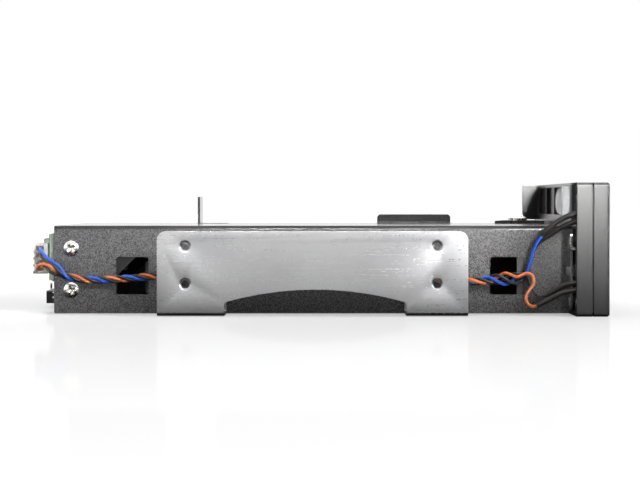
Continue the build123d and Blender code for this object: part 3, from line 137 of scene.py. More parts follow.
class Shade:
    """A socket in a material's tree: operators add Math nodes, and node() adds any other kind."""

    def __init__(self, socket):
        self.socket = socket

    def node(self, kind, settings=None, values=None):
        """A new node: its settings or a ramp's stops first, then its sockets' values or links."""
        made = self.socket.id_data.nodes.new(kind)
        for key, value in (settings or {}).items():
            if key == "stops":
                ramp_stops = made.color_ramp.elements
                while len(ramp_stops) < len(value):
                    ramp_stops.new(0.5)
                for stop, (place, colour) in zip(ramp_stops, value):
                    stop.position = place
                    stop.color = (*colour, 1) if len(colour) == 3 else colour
            else:
                setattr(made, key, value)
        for key, value in (values or {}).items():
            if isinstance(value, Shade):
                self.socket.id_data.links.new(value.socket, made.inputs[key])
            else:
                made.inputs[key].default_value = value
        return Shade(next((o for o in made.outputs if o.enabled), self.socket))

    def out(self, name):
        """Another output of the same node."""
        return Shade(self.socket.node.outputs[name])

    def math(self, operation, *others):
        return self.node("ShaderNodeMath", {"operation": operation}, dict(enumerate([self, *others])))

    def __add__(self, other):
        return self.math("ADD", other)

    __radd__ = __add__

    def __mul__(self, other):
        return self.math("MULTIPLY", other)

    __rmul__ = __mul__

    def __sub__(self, other):
        return self.math("SUBTRACT", other)

    def __rsub__(self, other):
        return (self * -1) + other

    def blend(self, low, high):
        """The colour low where this mask is 0 and high where it is 1."""
        mix = self.node("ShaderNodeMix", {"data_type": "RGBA"}, {"Factor": self, 6: low, 7: high})
        return Shade(mix.socket.node.outputs[2])

    def noise(self, scale, detail=3.0, roughness=0.5):
        """Noise of about one blob per 1/scale metres, where this shade is a place."""
        values = {"Vector": self, "Scale": scale, "Detail": detail, "Roughness": roughness}
        return self.node("ShaderNodeTexNoise", {}, values)

    def speck(self, scale, randomness=1.0):
        """Distance to the nearest of scattered points, about 1/scale metres apart."""
        values = {"Vector": self, "Scale": scale, "Randomness": randomness}
        return self.node("ShaderNodeTexVoronoi", {}, values)

    def band(self, low, high):
        """This value spread from low to high onto 0 to 1."""
        values = {"Value": self, "From Min": low, "From Max": high}
        return self.node("ShaderNodeMapRange", {}, values)

    def xyz(self):
        parts = self.node("ShaderNodeSeparateXYZ", {}, {"Vector": self})
        return parts.out("X"), parts.out("Y"), parts.out("Z")

    def stretch(self, x, y, z):
        """The place with each axis scaled, for a pattern that is drawn out."""
        return self.node("ShaderNodeMapping", {}, {"Vector": self, "Scale": (x, y, z)})

    def bump(self, height, strength=1.0, below=None):
        """A surface direction from a height in metres, on top of another direction."""
        values = {"Height": height, "Strength": strength, "Distance": 1.0}
        if below is not None:
            values["Normal"] = below
        return self.node("ShaderNodeBump", {}, values)

    def soft_edge(self, radius):
        """The surface's direction with its edges rounded by the radius."""
        return self.node("ShaderNodeBevel", {"samples": 6}, {"Radius": radius})


def new_material(name, look):
    """A material whose surface is what look returns for a place on the object, in metres."""
    material = bpy.data.materials.new(name)
    material.use_nodes = True
    tree = material.node_tree
    tree.nodes.clear()
    place = Shade(tree.nodes.new("ShaderNodeTexCoord").outputs["Object"])
    place.node("ShaderNodeOutputMaterial", {}, {"Surface": look(place)})
    return material


def wire_look(colour):
    """PVC insulation: glossy, a little uneven, with handling marks that dull it."""
    pale = tuple(min(1.0, c * 1.25 + 0.02) for c in colour[:3])

    def look(place):
        marks = place.noise(900, 4)
        return place.node("ShaderNodeBsdfPrincipled", {}, {
            "Base Color": marks.band(0.35, 0.75).blend((*colour, 1), (*pale, 1)),
            "Roughness": marks.band(0.3, 0.8) * 0.18 + 0.26,
            "IOR": 1.5,
            "Normal": place.bump(place.noise(420, 2) * 0.00006),
        })
    return look


wire_materials = {
    "blue": new_material("wire_blue", wire_look((0.025, 0.12, 0.72))),
    "orange": new_material("wire_orange", wire_look((0.80, 0.20, 0.055))),
    "black": new_material("wire_black", wire_look((0.016, 0.016, 0.018))),
}

# The route that all four wires share, past the wall and behind the bracket
bundle_middle = [
    (-0.0798, -0.0600, 0.01205), (-0.0745, -0.0594, 0.01125), (-0.0693, -0.0589, 0.0110),
    (-0.0636, -0.0587, 0.0114), (-0.0574, -0.0588, 0.01175), (-0.0515, -0.0596, 0.01245),
    (-0.0430, -0.0615, 0.0126), (-0.0280, -0.0625, 0.0134), (-0.0060, -0.0610, 0.0124),
    (0.0160, -0.0624, 0.0116), (0.0340, -0.0612, 0.0109), (0.0455, -0.0598, 0.0107),
    (0.0518, -0.0596, 0.0106), (0.0564, -0.0598, 0.0113), (0.0606, -0.0604, 0.0115),
]

# Each wire: its colour, its place round the twist in degrees, the x where it joins the twist, its
# routes before the bundle, after it and inside the sleeve, and the solids that it and its sleeve
# stand for
wires = {
    "blue_wire": ("blue", 0, -0.0865, [
        (-0.0892, -0.0520, 0.02115), (-0.0891, -0.0555, 0.0212), (-0.0885, -0.0584, 0.0206),
        (-0.0870, -0.0603, 0.0190), (-0.0854, -0.0610, 0.0175), (-0.0838, -0.0609, 0.0158),
        (-0.0820, -0.0605, 0.0139),
    ], [
        (0.0640, -0.0600, 0.0117), (0.0660, -0.0594, 0.0120), (0.0672, -0.0602, 0.0136),
        (0.0679, -0.0612, 0.0156), (0.0683, -0.0623, 0.0180), (0.0689, -0.0637, 0.0208),
        (0.0698, -0.0651, 0.0232),
    ], [
        (0.0714, -0.0664, 0.0254), (0.0746, -0.0680, 0.0288), (0.0786, -0.0696, 0.0316),
        (0.0835, -0.0700, 0.03295),
    ], ["plug_lead_one", "power_lead_plus"], "power_sleeve_plus"),
    "black_wire_upper": ("black", 90, -0.0860, [
        (-0.0892, -0.0520, 0.01895), (-0.0891, -0.0555, 0.0189), (-0.0884, -0.0582, 0.0184),
        (-0.0868, -0.0600, 0.0173), (-0.0852, -0.0607, 0.0163), (-0.0837, -0.0609, 0.0152),
        (-0.0820, -0.0605, 0.0137),
    ], [
        (0.0642, -0.0606, 0.0119), (0.0662, -0.0614, 0.0131), (0.0678, -0.0621, 0.0118),
        (0.0682, -0.0626, 0.0098), (0.0688, -0.0634, 0.0076), (0.0704, -0.0648, 0.0060),
    ], [
        (0.0727, -0.0664, 0.0062), (0.0752, -0.0676, 0.0080), (0.0776, -0.0688, 0.0096),
        (0.0804, -0.0698, 0.0105), (0.0835, -0.0700, 0.0106),
    ], ["plug_lead_two", "activity_lead_minus", "lead_bundle"], "activity_sleeve_plus"),
    "black_wire_lower": ("black", -90, -0.0835, [
        (-0.0892, -0.0520, 0.01675), (-0.0891, -0.0553, 0.0167), (-0.0883, -0.0578, 0.0164),
        (-0.0867, -0.0594, 0.0152), (-0.0850, -0.0602, 0.0136), (-0.0832, -0.0604, 0.0127),
        (-0.0815, -0.0602, 0.0123),
    ], [
        (0.0640, -0.0600, 0.0113), (0.0658, -0.0592, 0.0108), (0.0670, -0.0595, 0.0124),
        (0.0678, -0.0602, 0.0146), (0.0683, -0.0612, 0.0174), (0.0689, -0.0624, 0.0204),
    ], [
        (0.0706, -0.0638, 0.0234), (0.0740, -0.0656, 0.0259), (0.0778, -0.0684, 0.0285),
        (0.0835, -0.0700, 0.03065),
    ], ["plug_lead_three", "power_lead_minus"], "power_sleeve_minus"),
    "orange_wire": ("orange", 180, -0.0865, [
        (-0.0892, -0.0520, 0.01455), (-0.0893, -0.0556, 0.0146), (-0.0894, -0.0586, 0.0153),
        (-0.0884, -0.0604, 0.0162), (-0.0868, -0.0612, 0.0162), (-0.0850, -0.0612, 0.0157),
        (-0.0834, -0.0609, 0.0150), (-0.0820, -0.0605, 0.0138),
    ], [
        (0.0644, -0.0608, 0.0121), (0.0668, -0.0618, 0.0136), (0.0691, -0.0630, 0.0126),
        (0.0691, -0.0640, 0.0099), (0.0673, -0.0652, 0.0079), (0.0661, -0.0662, 0.0057),
        (0.0668, -0.0670, 0.0035), (0.0684, -0.0674, 0.0028),
    ], [
        (0.0697, -0.0677, 0.0031), (0.0722, -0.0683, 0.0046), (0.0749, -0.0689, 0.0061),
        (0.0777, -0.0695, 0.0075), (0.0806, -0.0699, 0.0082), (0.0835, -0.0700, 0.0083),
    ], ["plug_lead_four", "activity_lead_plus"], "activity_sleeve_minus"),
}
wire_radius = 0.0005


def twist_angle(x):
    """Degrees of the hand-made twist at x: about 11 mm a turn, and slower where the wires part."""
    places = [-0.0900, -0.0806, -0.0510, 0.0512, 0.0568, 0.0602, 0.0640, 0.0680]
    return np.interp(x, places, [-212, 90, 1048, 4230, 4410, 4500, 4590, 4660])


def spread(x, joins):
    """How far a wire stands from the twist's middle at x: none before it joins, most before they part."""
    places = [joins, joins + 0.0035, 0.0530, 0.0570, 0.0608, 0.0640, 0.0664]
    return np.interp(x, places, [0, 0.00085, 0.00085, 0.0014, 0.0019, 0.0012, 0])


def twist_offset(line, corner, joins):
    """A wire's way off the bundle's middle: spread * (cos a * upright + sin a * level), where a is the
    twist angle plus the corner."""
    heading = unit(np.gradient(line, axis=0))
    level = unit(np.cross(heading, np.array([0.0, 0.0, 1.0])))
    upright = np.cross(level, heading)
    angle = np.radians(corner + twist_angle(line[:, 0]))[:, None]
    return spread(line[:, 0], joins)[:, None] * (np.cos(angle) * upright + np.sin(angle) * level)


def evened(strand, passes=6):
    """The strand with its inner points moved, at each pass, to a quarter, a half and a quarter of three
    neighbours. It takes out the kinks where the twist changes its pace."""
    for _ in range(passes):
        strand = np.r_[strand[:1], (strand[:-2] + 2 * strand[1:-1] + strand[2:]) / 4, strand[-1:]]
    return strand


sleeve_material = new_material("shrink_sleeve", lambda place: place.node("ShaderNodeBsdfPrincipled", {}, {
    "Base Color": place.noise(700, 4).band(0.3, 0.8).blend(
        (0.016, 0.0145, 0.014, 1), (0.040, 0.036, 0.034, 1)
    ),
    "Roughness": place.noise(300, 3) * 0.2 + 0.28,
    "Normal": place.bump(place.noise(1100, 3) * 0.00012),
}))

for name, (colour, corner, joins, before, after, last, nodes, sleeve_node) in wires.items():
    line = spline_points(name, before + bundle_middle + after + last, 14)
    path = evened(line + twist_offset(line, corner, joins))
    wire = tube_piece(name, path, np.full(len(path), wire_radius))
    wire.data.materials.append(wire_materials[colour])
    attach(wire, "cage")
    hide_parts(*nodes)
    # Shrink sleeve: it grips the wire, swells over the soldered joint and ends over the lamp's pin
    inside = int(np.argmin(np.linalg.norm(path - np.array(last[0]), axis=1)))
    covered = path[inside:]
    u = np.linspace(0, 1, len(covered))
    waves = 0.00005 * np.sin(9 * u + corner) * ramp(u, 0.1, 0.2)
    radii = 0.00064 + 0.00020 * ramp(u, 0.0, 0.15) + waves
    sleeve = tube_piece(sleeve_node.replace("sleeve", "shrink"), covered, radii, sides=16)
    sleeve.data.materials.append(sleeve_material)
    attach(sleeve, "cage")
    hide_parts(sleeve_node)
    tuple(path[0])


# Cage, floor plate and support plate: steel sheet, punched and folded, then powder coated black. The
# coat wrinkles into fine ridges, whose pale colour is a painted glint. Along the long folds the coat is
# thinner and rougher, and painted shade darkens it. On the front tab and the plate above the roof it is
# duller, and painted shade darkens it.
def powder_coat(place):
    swirl = place.noise(2300, 2.0, 0.5)
    # The ridges' pale colour is a painted glint; their bump and roughness are the coat's real wrinkles
    ridges_and_glints = (1 - (swirl * 2 - 1).math("ABSOLUTE")).band(0.80, 1.0)
    cloud = place.noise(60, 3).band(0.3, 0.7)
    x, y, z = place.xyz()
    # Painted shade along the long folds, standing in for the dark that the bends mirror; the coat there is
    # also thinner and rougher
    painted_fold_shade = z.band(0.0270, 0.0276) * y.math("ABSOLUTE").band(0.0536, 0.0544)
    # Painted shade on the front tab and the plate above the roof, where the coat is also duller
    painted_tab_shade = z.band(0.0291, 0.0293) * x.band(0.0, 0.001)
    shade = ridges_and_glints * (1 - painted_fold_shade * 0.9) * (1 - painted_tab_shade * 0.85)
    return place.node("ShaderNodeBsdfPrincipled", {}, {
        "Base Color": shade.blend((0.018, 0.0175, 0.018, 1), (0.185, 0.180, 0.183, 1)),
        "Roughness": 0.55 - ridges_and_glints * 0.12 + cloud * 0.05 + painted_fold_shade * 0.3 + painted_tab_shade * 0.2,
        "IOR": 1.5,
        "Coat Weight": (1 - painted_fold_shade * 0.95) * (1 - painted_tab_shade * 0.85),
        "Coat Roughness": 0.14,
        "Normal": place.bump(ridges_and_glints * 0.00005, 1.0, place.soft_edge(0.00018)),
    })


black_steel = new_material("black_powder_coat", powder_coat)


def dress(material, *nodes):
    """Gives CAD nodes a finish."""
    for node in nodes:
        for material_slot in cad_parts[node].material_slots:
            material_slot.material = material


dress(black_steel, "cage_shell", "floor_plate", "support_bracket")


# Side brackets, rivets and ejector slide: zinc-plated steel with a satin grain along the rolling
# direction. The brackets are punched and folded, and riveted to the walls.
def satin_steel(place):
    streaks = place.stretch(12, 60, 700).noise(4, 4, 0.6)
    mottle = place.noise(45, 4, 0.55)
    rub = place.noise(900, 3).band(0.45, 0.75)
    return place.node("ShaderNodeBsdfPrincipled", {}, {
        "Base Color": mottle.band(0.3, 0.7).blend((0.55, 0.55, 0.56, 1), (0.63, 0.63, 0.635, 1)),
        "Metallic": 1.0,
        "Roughness": 0.24 + streaks * 0.08 + rub * 0.03,
        "Normal": place.bump(streaks * 0.000004 + rub * 0.000002, 1.0, place.soft_edge(0.00015)),
    })


silver_steel = new_material("satin_steel", satin_steel)
dress(
    silver_steel, "side_bracket_left", "side_bracket_right", "ejector_slide", "bracket_rivets",
    "ejector_rivets",
)


def merged_copy(node):
    """A copy of a CAD node's mesh with its split corners merged, as a piece that may be changed."""
    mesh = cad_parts[node].data.copy()
    if "custom_normal" in mesh.attributes:
        mesh.attributes.remove(mesh.attributes["custom_normal"])
    merged = bmesh.new()
    merged.from_mesh(mesh)
    bmesh.ops.remove_doubles(merged, verts=merged.verts, dist=1e-6)
    merged.to_mesh(mesh)
    merged.free()
    piece = bpy.data.objects.new(f"{node}_punched", mesh)
    bpy.context.scene.collection.objects.link(piece)
    return piece


def turned(profile, centres, out, sides=48):
    """Turned shapes: ring j at each centre is height[j] * out + radius[j] (cos a * u + sin a * v)."""
    out = np.array(out, float)
    u = np.roll(out, 1)
    v = np.cross(out, u)
    angle = np.linspace(0, 2 * np.pi, sides, endpoint=False)[:, None]
    ring = np.cos(angle) * u + np.sin(angle) * v
    radius, height = np.array(profile).T[:, :, None, None]
    shape = (height * out + radius * ring).reshape(-1, 3)
    faces = grid_faces(len(profile), sides, True)
    vertices = np.concatenate([shape + centre for centre in np.array(centres)])
    starts = np.arange(len(centres)) * len(shape)
    return vertices, (faces[None] + starts[:, None, None]).reshape(-1, 4)


# Tapped holes of the side brackets: the punch has drawn each mouth in, so the face rolls over into
# the bore in a quarter circle 0.8 mm across.
bore = 0.00125
drawn = 0.0008
lip = bore + drawn
# The cutter's outline, as radius and height over the face: it starts above the face, rolls over in the
# quarter circle and ends inside the bore, just under it
mouth = [(0, 0.0004), (lip + 0.0001, 0.0004), (lip + 0.0001, 0.00002)]
mouth += [(lip - drawn * math.sin(a), -drawn * (1 - math.cos(a))) for a in np.linspace(0, np.pi / 2, 9)]
mouth += [(bore - 0.00005, -drawn - 0.00002), (0, -drawn - 0.00002)]
hole_columns = (-0.0414, 0.03785)
hole_rows = (0.01025, 0.02209)
for node, face, out in (("side_bracket_left", bracket_face, -1), ("side_bracket_right", -bracket_face, 1)):
    punched = merged_copy(node)
    spots = [(x, face, z) for x in hole_columns for z in hole_rows]
    cutter = new_piece("mouths", *turned(mouth, spots, (0, out, 0)))
    cut = punched.modifiers.new("mouths", "BOOLEAN")
    cut.operation = "DIFFERENCE"
    cut.object = cutter
    cut.solver = "EXACT"
    done = bpy.data.meshes.new_from_object(punched.evaluated_get(bpy.context.evaluated_depsgraph_get()))
    punched.modifiers.clear()
    punched.data = done
    bpy.data.objects.remove(cutter)
    done.polygons.foreach_set("use_smooth", np.full(len(done.polygons), True))
    done.set_sharp_from_angle(angle=math.radians(32))
    done.materials.clear()
    done.materials.append(silver_steel)
    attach(punched, "cage")
    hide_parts(node)


# Screws: machined steel, nickel plated and bright, with a cross recess stamped into the head and a
# rolled thread. Pan heads hold the walls and the support plate, and flat ones sit in the bezel.
def nickel_plate(place):
    haze = place.noise(1200, 4)
    return place.node("ShaderNodeBsdfPrincipled", {}, {
        "Base Color": haze.band(0.3, 0.7).blend((0.68, 0.66, 0.61, 1), (0.80, 0.78, 0.73, 1)),
        "Metallic": 1.0,
        "Roughness": 0.20 + haze * 0.14,
        "Normal": place.bump(place.noise(2400, 2) * 0.000008, 1.0, place.soft_edge(0.0001)),
    })


nickel = new_material("nickel_plate", nickel_plate)
dress(nickel, "hinge_pin_bottom", "hinge_pin_top", "crank_pin", "latch_spring")


def solid_boxes(node):
    """The corners of each solid's box. Linked corners take the least of their numbers till they agree."""
    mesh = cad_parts[node].data
    points = np.empty(len(mesh.vertices) * 3)
    mesh.vertices.foreach_get("co", points)
    points = points.reshape(-1, 3)
    edges = np.empty(len(mesh.edges) * 2, int)
    mesh.edges.foreach_get("vertices", edges)
    same = np.unique(np.round(points, 7), axis=0, return_inverse=True)[1].ravel()
    ends = same[edges.reshape(-1, 2)].T
    label = np.arange(same.max() + 1)
    before = None
    while before is None or (before != label).any():
        before = label.copy()
        low = np.minimum(label[ends[0]], label[ends[1]])
        np.minimum.at(label, ends[0], low)
        np.minimum.at(label, ends[1], low)
    member = label[same]
    return [(points[member == m].min(0), points[member == m].max(0)) for m in np.unique(member)]


def cross_screws(name, node, out, head, shank, dome, body="cage"):
    """Screws in the boxes of a node's solids. The head's height is head (1 - dome (r/R)^3), less a cross
    recess of head (0.8 - 0.45 r / reach), and the shank's radius is shank - 0.11 mm (1 - |sin|) along a
    helix of 0.5 mm pitch."""
    columns = 84
    angle = np.linspace(0, 2 * np.pi, columns, endpoint=False)[None, :]
    pieces = []
    boxes = solid_boxes(node)
    for number, (low, high) in enumerate(boxes):
        middle = (low + high) / 2
        axis = np.array(out, float)
        if axis[1]:
            axis[1] = math.copysign(1, middle[1])
        along = abs(axis) @ (high - low)
        wide = max(np.delete(high - low, int(abs(axis).argmax()))) / 2
        seat = middle + axis * (along / 2 - head)
        u = np.roll(abs(axis), 1)
        v = np.cross(axis, u)
        top = np.r_[np.arange(0, wide * 0.62, 0.00006), np.linspace(wide * 0.62, wide, 12)]
        shank_steps = np.arange(0, along - head, 0.00008)
        radius = np.r_[top, wide, wide, shank + 0.0001, np.full(len(shank_steps), shank), shank * 0.7, 0]
        rise = np.r_[
            head * (1 - dome * (top / wide) ** 3), head * (1 - dome) * 0.6, 0, 0, -shank_steps,
            head - along, head - along,
        ]
        turn = angle - (0.35 + 1.9 * number)
        p = abs(radius[:, None] * np.cos(turn))
        q = abs(radius[:, None] * np.sin(turn))
        half_arm = wide * 0.17
        reach = wide * 0.60
        soft = 0.00005
        arm_p = ramp(q, half_arm + soft, half_arm - soft) * ramp(p, reach + soft, reach - soft)
        arm_q = ramp(p, half_arm + soft, half_arm - soft) * ramp(q, reach + soft, reach - soft)
        on_top = (np.arange(len(radius)) < len(top))[:, None]
        recess = np.maximum(arm_p, arm_q) * on_top * head * (0.8 - 0.45 * radius[:, None] / reach)
        threaded = np.zeros(len(radius), bool)
        threaded[len(top) + 3:-2] = True
        pitch = 0.0005
        groove = 1 - abs(np.sin(np.pi * rise[:, None] / pitch + angle / 2))
        radius = radius[:, None] - 0.00011 * groove * threaded[:, None]
        rise = rise[:, None] - recess
        ring = np.cos(angle)[..., None] * u + np.sin(angle)[..., None] * v
        pieces.append((seat + rise[..., None] * axis + radius[..., None] * ring).reshape(-1, 3))
    faces = grid_faces(len(rise), columns, True)
    starts = np.arange(len(pieces)) * len(pieces[0])
    piece = new_piece(name, np.concatenate(pieces), (faces[None] + starts[:, None, None]).reshape(-1, 4))
    piece.data.set_sharp_from_angle(angle=math.radians(50))
    piece.data.materials.append(nickel)
    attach(piece, body)
    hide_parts(node)


cross_screws("wall_pan_screws", "wall_screws", (0, 1, 0), 0.0016, 0.00145, 0.42)
cross_screws("support_pan_screws", "support_screws", (0, 0, 1), 0.0016, 0.00145, 0.42)
cross_screws("board_pan_screws", "board_screws", (-1, 0, 0), 0.0016, 0.001, 0.42)
cross_screws("bezel_flat_screws", "bezel_screws", (-1, 0, 0), 0.0008, 0.001, 0.12)
cross_screws("flange_flat_screws", "flange_screws", (-1, 0, 0), 0.0008, 0.001, 0.06)
cross_screws("cover_flat_screws", "cover_screws", (-1, 0, 0), 0.0008, 0.001, 0.12, "door")


# Rails, connector housings and latch: black nylon, moulded with a dull, finely pitted skin.
def moulded(dark, pale, roughness, pits, scale=1800):
    """A look of two colours along the melt's flow, with pits in metres and scale of them to the metre."""
    def look(place):
        skin = place.noise(scale, 3, 0.55)
        flow = place.noise(35, 2).band(0.3, 0.7)
        return place.node("ShaderNodeBsdfPrincipled", {}, {
            "Base Color": flow.blend((*dark, 1), (*pale, 1)),
            "Roughness": skin * 0.12 + roughness,
            "IOR": 1.47,
            "Normal": place.bump(skin * pits, 1.0, place.soft_edge(0.0002)),
        })
    return look


dress(
    new_material("black_nylon", moulded((0.009, 0.0085, 0.008), (0.016, 0.015, 0.014), 0.45, 0.00002)),
    "guide_rail_left", "guide_rail_right", "drive_socket", "power_connector", "data_connector",
    "door_latch", "latch_cover",
)

# Bezel, faceplate and door: black ABS with a fine spark-eroded texture.
dress(
    new_material("black_abs", moulded((0.040, 0.040, 0.0405), (0.050, 0.050, 0.0505), 0.19, 0.000004, 3000)),
    "bezel_frame", "faceplate", "door",
)

# Plug, its header and the bezel's clip: natural white nylon.
dress(
    new_material("white_nylon", moulded((0.66, 0.66, 0.63), (0.74, 0.74, 0.70), 0.34, 0.00001)),
    "led_header", "led_plug", "bezel_clip",
)

# Backplane frame: steel sheet, folded to a U, with a thin and dull black dip coat. Its colour is set
# darker than the cage's coat as painted shade for the dark inside of the cage.
dress(
    new_material("dip_coat_painted_shade", moulded((0.008, 0.0075, 0.007), (0.014, 0.013, 0.012), 0.40, 0.000008)),
    "backplane_frame",
)


# Backplane board: glass-epoxy laminate, sawn to size, with a green mask over copper tracks. Its cut
# edges are bare: pale resin with the weave of the glass showing as fine slanting threads.
def board_look(place):
    x, y, z = place.xyz()
    face = place.node("ShaderNodeCombineXYZ", {}, {"X": y, "Y": z, "Z": 0.0})
    tracks = face.node("ShaderNodeTexBrick", {"offset": 0.5}, {
        "Vector": face, "Scale": 260.0, "Mortar Size": 0.018, "Bias": 0.0, "Brick Width": 1.7,
        "Row Height": 0.32,
    }).out("Fac")
    weave = place.noise(1500, 3)
    depth = (x + 0.0856).math("ABSOLUTE")
    sawn = (1 - depth.band(0.00062, 0.00070)) * x.band(-0.08645, -0.08640)
    edge = y.math("ABSOLUTE").band(0.05285, 0.0529).math("MAXIMUM", z.band(0.02575, 0.0258))
    edge = edge.math("MAXIMUM", 1 - z.band(0.0014, 0.00145)) * sawn
    threads = ((x + z * 0.7) * 9000).math("SINE").band(-0.6, 0.9) * place.noise(3500, 2).band(0.3, 0.6)
    mask = tracks.blend((0.010, 0.13, 0.030, 1), (0.022, 0.20, 0.055, 1))
    resin = threads.blend((0.60, 0.68, 0.56, 1), (0.30, 0.42, 0.28, 1))
    colour = place.node("ShaderNodeMix", {"data_type": "RGBA"}, {"Factor": edge, 6: mask, 7: resin})
    return place.node("ShaderNodeBsdfPrincipled", {}, {
        "Base Color": Shade(colour.socket.node.outputs[2]),
        "Roughness": 0.26 + weave * 0.12 + edge * 0.3,
        "Coat Weight": 0.3 - edge * 0.3,
        "Normal": place.bump(tracks * 0.00003 + weave * 0.000006, 1.0, place.soft_edge(0.0001)),
    })


dress(new_material("green_board", board_look), "backplane_board")


# Small parts on the board's rear: chip resistors and one driver chip, and the solder joints of the
# drive socket's pins, which the wave has pulled up into little cones.
def rounded_blocks(name, boxes, soft=0.22, steps=14):
    """Blocks c + s * (x, y, z), where each of x, y, z is a cosine or sine to the power soft with its sign
    kept, so that the faces are near flat and the edges rounded. A box is c and s in millimetres."""
    across = np.linspace(-np.pi / 2, np.pi / 2, steps)[:, None]
    round_ = np.linspace(0, 2 * np.pi, 2 * steps, endpoint=False)[None, :]

    def power(value):
        return np.sign(value) * abs(value) ** soft

    shape = np.stack([
        power(np.cos(across)) * power(np.cos(round_)),
        power(np.cos(across)) * power(np.sin(round_)),
        power(np.sin(across)) * np.ones_like(round_),
    ], -1).reshape(-1, 3)
    shape /= abs(shape).max(0)
    faces = grid_faces(steps, 2 * steps, True)
    places = np.array(boxes) / 1000
    vertices = np.concatenate([place[:3] + shape * place[3:] / 2 for place in places])
    starts = np.arange(len(places)) * len(shape)
    return new_piece(name, vertices, (faces[None] + starts[:, None, None]).reshape(-1, 4))


def clouded(dark, pale, cloud, haze, metallic=0.0):
    """A look of two colours mixed by noise, as scale and detail, and the roughness of a second one, as
    scale, detail, range and least."""
    def look(place):
        return place.node("ShaderNodeBsdfPrincipled", {}, {
            "Base Color": place.noise(*cloud).blend((*dark, 1), (*pale, 1)),
            "Metallic": metallic,
            "Roughness": place.noise(*haze[:2]) * haze[2] + haze[3],
        })
    return look


def chip_look(dark, pale):
    """The dull look of fired ceramic or moulded resin."""
    return clouded(dark, pale, (2600, 3), (1900, 3, 0.25, 0.3))


board_rear = -0.0864
chip_spots = [
    (-31.0, 9.8), (-27.6, 9.8), (-24.2, 9.8), (-20.8, 9.8), (-13.0, 9.8), (3.4, 10.6), (6.6, 10.6),
    (9.8, 10.6), (38.5, 15.5), (41.8, 15.5), (38.5, 20.5), (-44.5, 8.6),
]
chip_bodies = rounded_blocks("chip_resistors", [(-86.66, y, z, 0.52, 1.25, 1.5) for y, z in chip_spots])
chip_bodies.data.materials.append(
    new_material("chip_ceramic", chip_look((0.012, 0.012, 0.013), (0.05, 0.045, 0.04)))
)
chip_ends = rounded_blocks("chip_ends", [
    (-86.67, y, z + side, 0.56, 1.29, 0.4) for y, z in chip_spots for side in (-0.85, 0.85)
])
driver = rounded_blocks("driver_chip", [(-87.15, -5.5, 17.0, 1.3, 4.9, 3.9)], 0.12, 24)
driver.data.materials.append(
    new_material("chip_resin", chip_look((0.012, 0.012, 0.012), (0.03, 0.03, 0.03)))
)
driver_legs = rounded_blocks("driver_legs", [
    (-86.75, -5.5 + step, 17.0 + side, 0.5, 0.42, 1.1)
    for step in (-1.9, -0.63, 0.63, 1.9) for side in (-2.3, 2.3)
])
contact_rows = [(low[1] + high[1]) / 2 for low, high in solid_boxes("socket_contacts")]
joint_spots = [(board_rear, y, 0.0046 + 0.0016 * (i % 2)) for i, y in enumerate(sorted(contact_rows))]
cone = [
    (0.0, 0.0009), (0.00014, 0.00086), (0.00022, 0.0006), (0.00034, 0.00028), (0.00052, 0.0001),
    (0.00058, -0.00004), (0, -0.00004),
]
solder_joints = new_piece("solder_joints", *turned(cone, joint_spots, (-1, 0, 0), 20))
tin = new_material(
    "solder_tin", clouded((0.62, 0.63, 0.64), (0.82, 0.82, 0.82), (1500, 3), (2100, 3, 0.2, 0.2), 1.0)
)
for piece in (chip_ends, driver_legs, solder_joints):
    piece.data.materials.append(tin)
for piece in (chip_bodies, chip_ends, driver, driver_legs, solder_joints):
    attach(piece, "cage")

# Contacts: stamped phosphor bronze with a gold flash, pressed into the housings.
dress(
    new_material(
        "gold_flash", clouded((0.70, 0.50, 0.17), (0.90, 0.68, 0.30), (900, 3), (2000, 3, 0.18, 0.2), 1.0)
    ),
    "socket_contacts", "power_contacts", "data_contacts",
)

# Crimps: a folded brass barrel in each way of the plug, whose two wings curl over and bite the wire.
# The radius is r (1 - 0.4 exp(-((a - 90 degrees) / 20 degrees)^2)), 1.4 times as wide as high.
around = np.linspace(0, 2 * np.pi, 49)
dent = 1 - 0.4 * np.exp(-((np.degrees(around) - 90) / 20) ** 2)
walls = np.array([(0.00062, -0.0532), (0.00062, -0.0521), (0.00050, -0.0521), (0.00050, -0.0532)])
barrels = []
for way in (0.02115, 0.01895, 0.01675, 0.01455):
    wide = -0.0892 + 1.4 * walls[:, 0] * (dent * np.cos(around))[:, None]
    high = way + walls[:, 0] * (dent * np.sin(around))[:, None]
    deep = np.broadcast_to(walls[:, 1], wide.shape)
    barrels.append(np.stack([wide, deep, high], -1).reshape(-1, 3))
faces = grid_faces(len(around), len(walls), True)
starts = np.arange(len(barrels)) * len(barrels[0])
crimps = new_piece(
    "lead_crimps", np.concatenate(barrels), (faces[None] + starts[:, None, None]).reshape(-1, 4)
)
crimps.data.materials.append(new_material(
    "crimp_brass", clouded((0.28, 0.15, 0.04), (0.75, 0.52, 0.22), (2500, 3), (1800, 3, 0.2, 0.25), 1.0)
))
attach(crimps, "cage")

# Ear plate: a strip of tinned steel behind the near ear of the bezel, dull from handling.
dress(new_material("tinned_steel", lambda place: place.node("ShaderNodeBsdfPrincipled", {}, {
    "Base Color": place.noise(500, 4).blend((0.20, 0.20, 0.21, 1), (0.29, 0.29, 0.29, 1)),
    "Metallic": 1.0,
    "Roughness": place.noise(1500, 3) * 0.15 + 0.52,
    "Normal": place.bump(place.noise(2600, 3) * 0.00001, 1.0, place.soft_edge(0.00012)),
})), "ear_plate")

# Foam pad: a small black pad under the ejector slide, glued to the far wall so that the slide can't
# rattle.
def foam_look(place):
    cells = place.speck(2600)
    return place.node("ShaderNodeBsdfPrincipled", {}, {
        "Base Color": cells.band(0.0, 0.6).blend((0.006, 0.006, 0.006, 1), (0.022, 0.022, 0.022, 1)),
        "Roughness": place.noise(1200, 3) * 0.1 + 0.8,
        "Normal": place.bump(cells * 0.00012),
    })


foam_pad = rounded_blocks("foam_pad", [(-70.6, 55.45, 9.55, 8.4, 0.9, 2.7)], 0.14, 24)
foam_pad.data.materials.append(new_material("black_foam", foam_look))
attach(foam_pad, "cage")

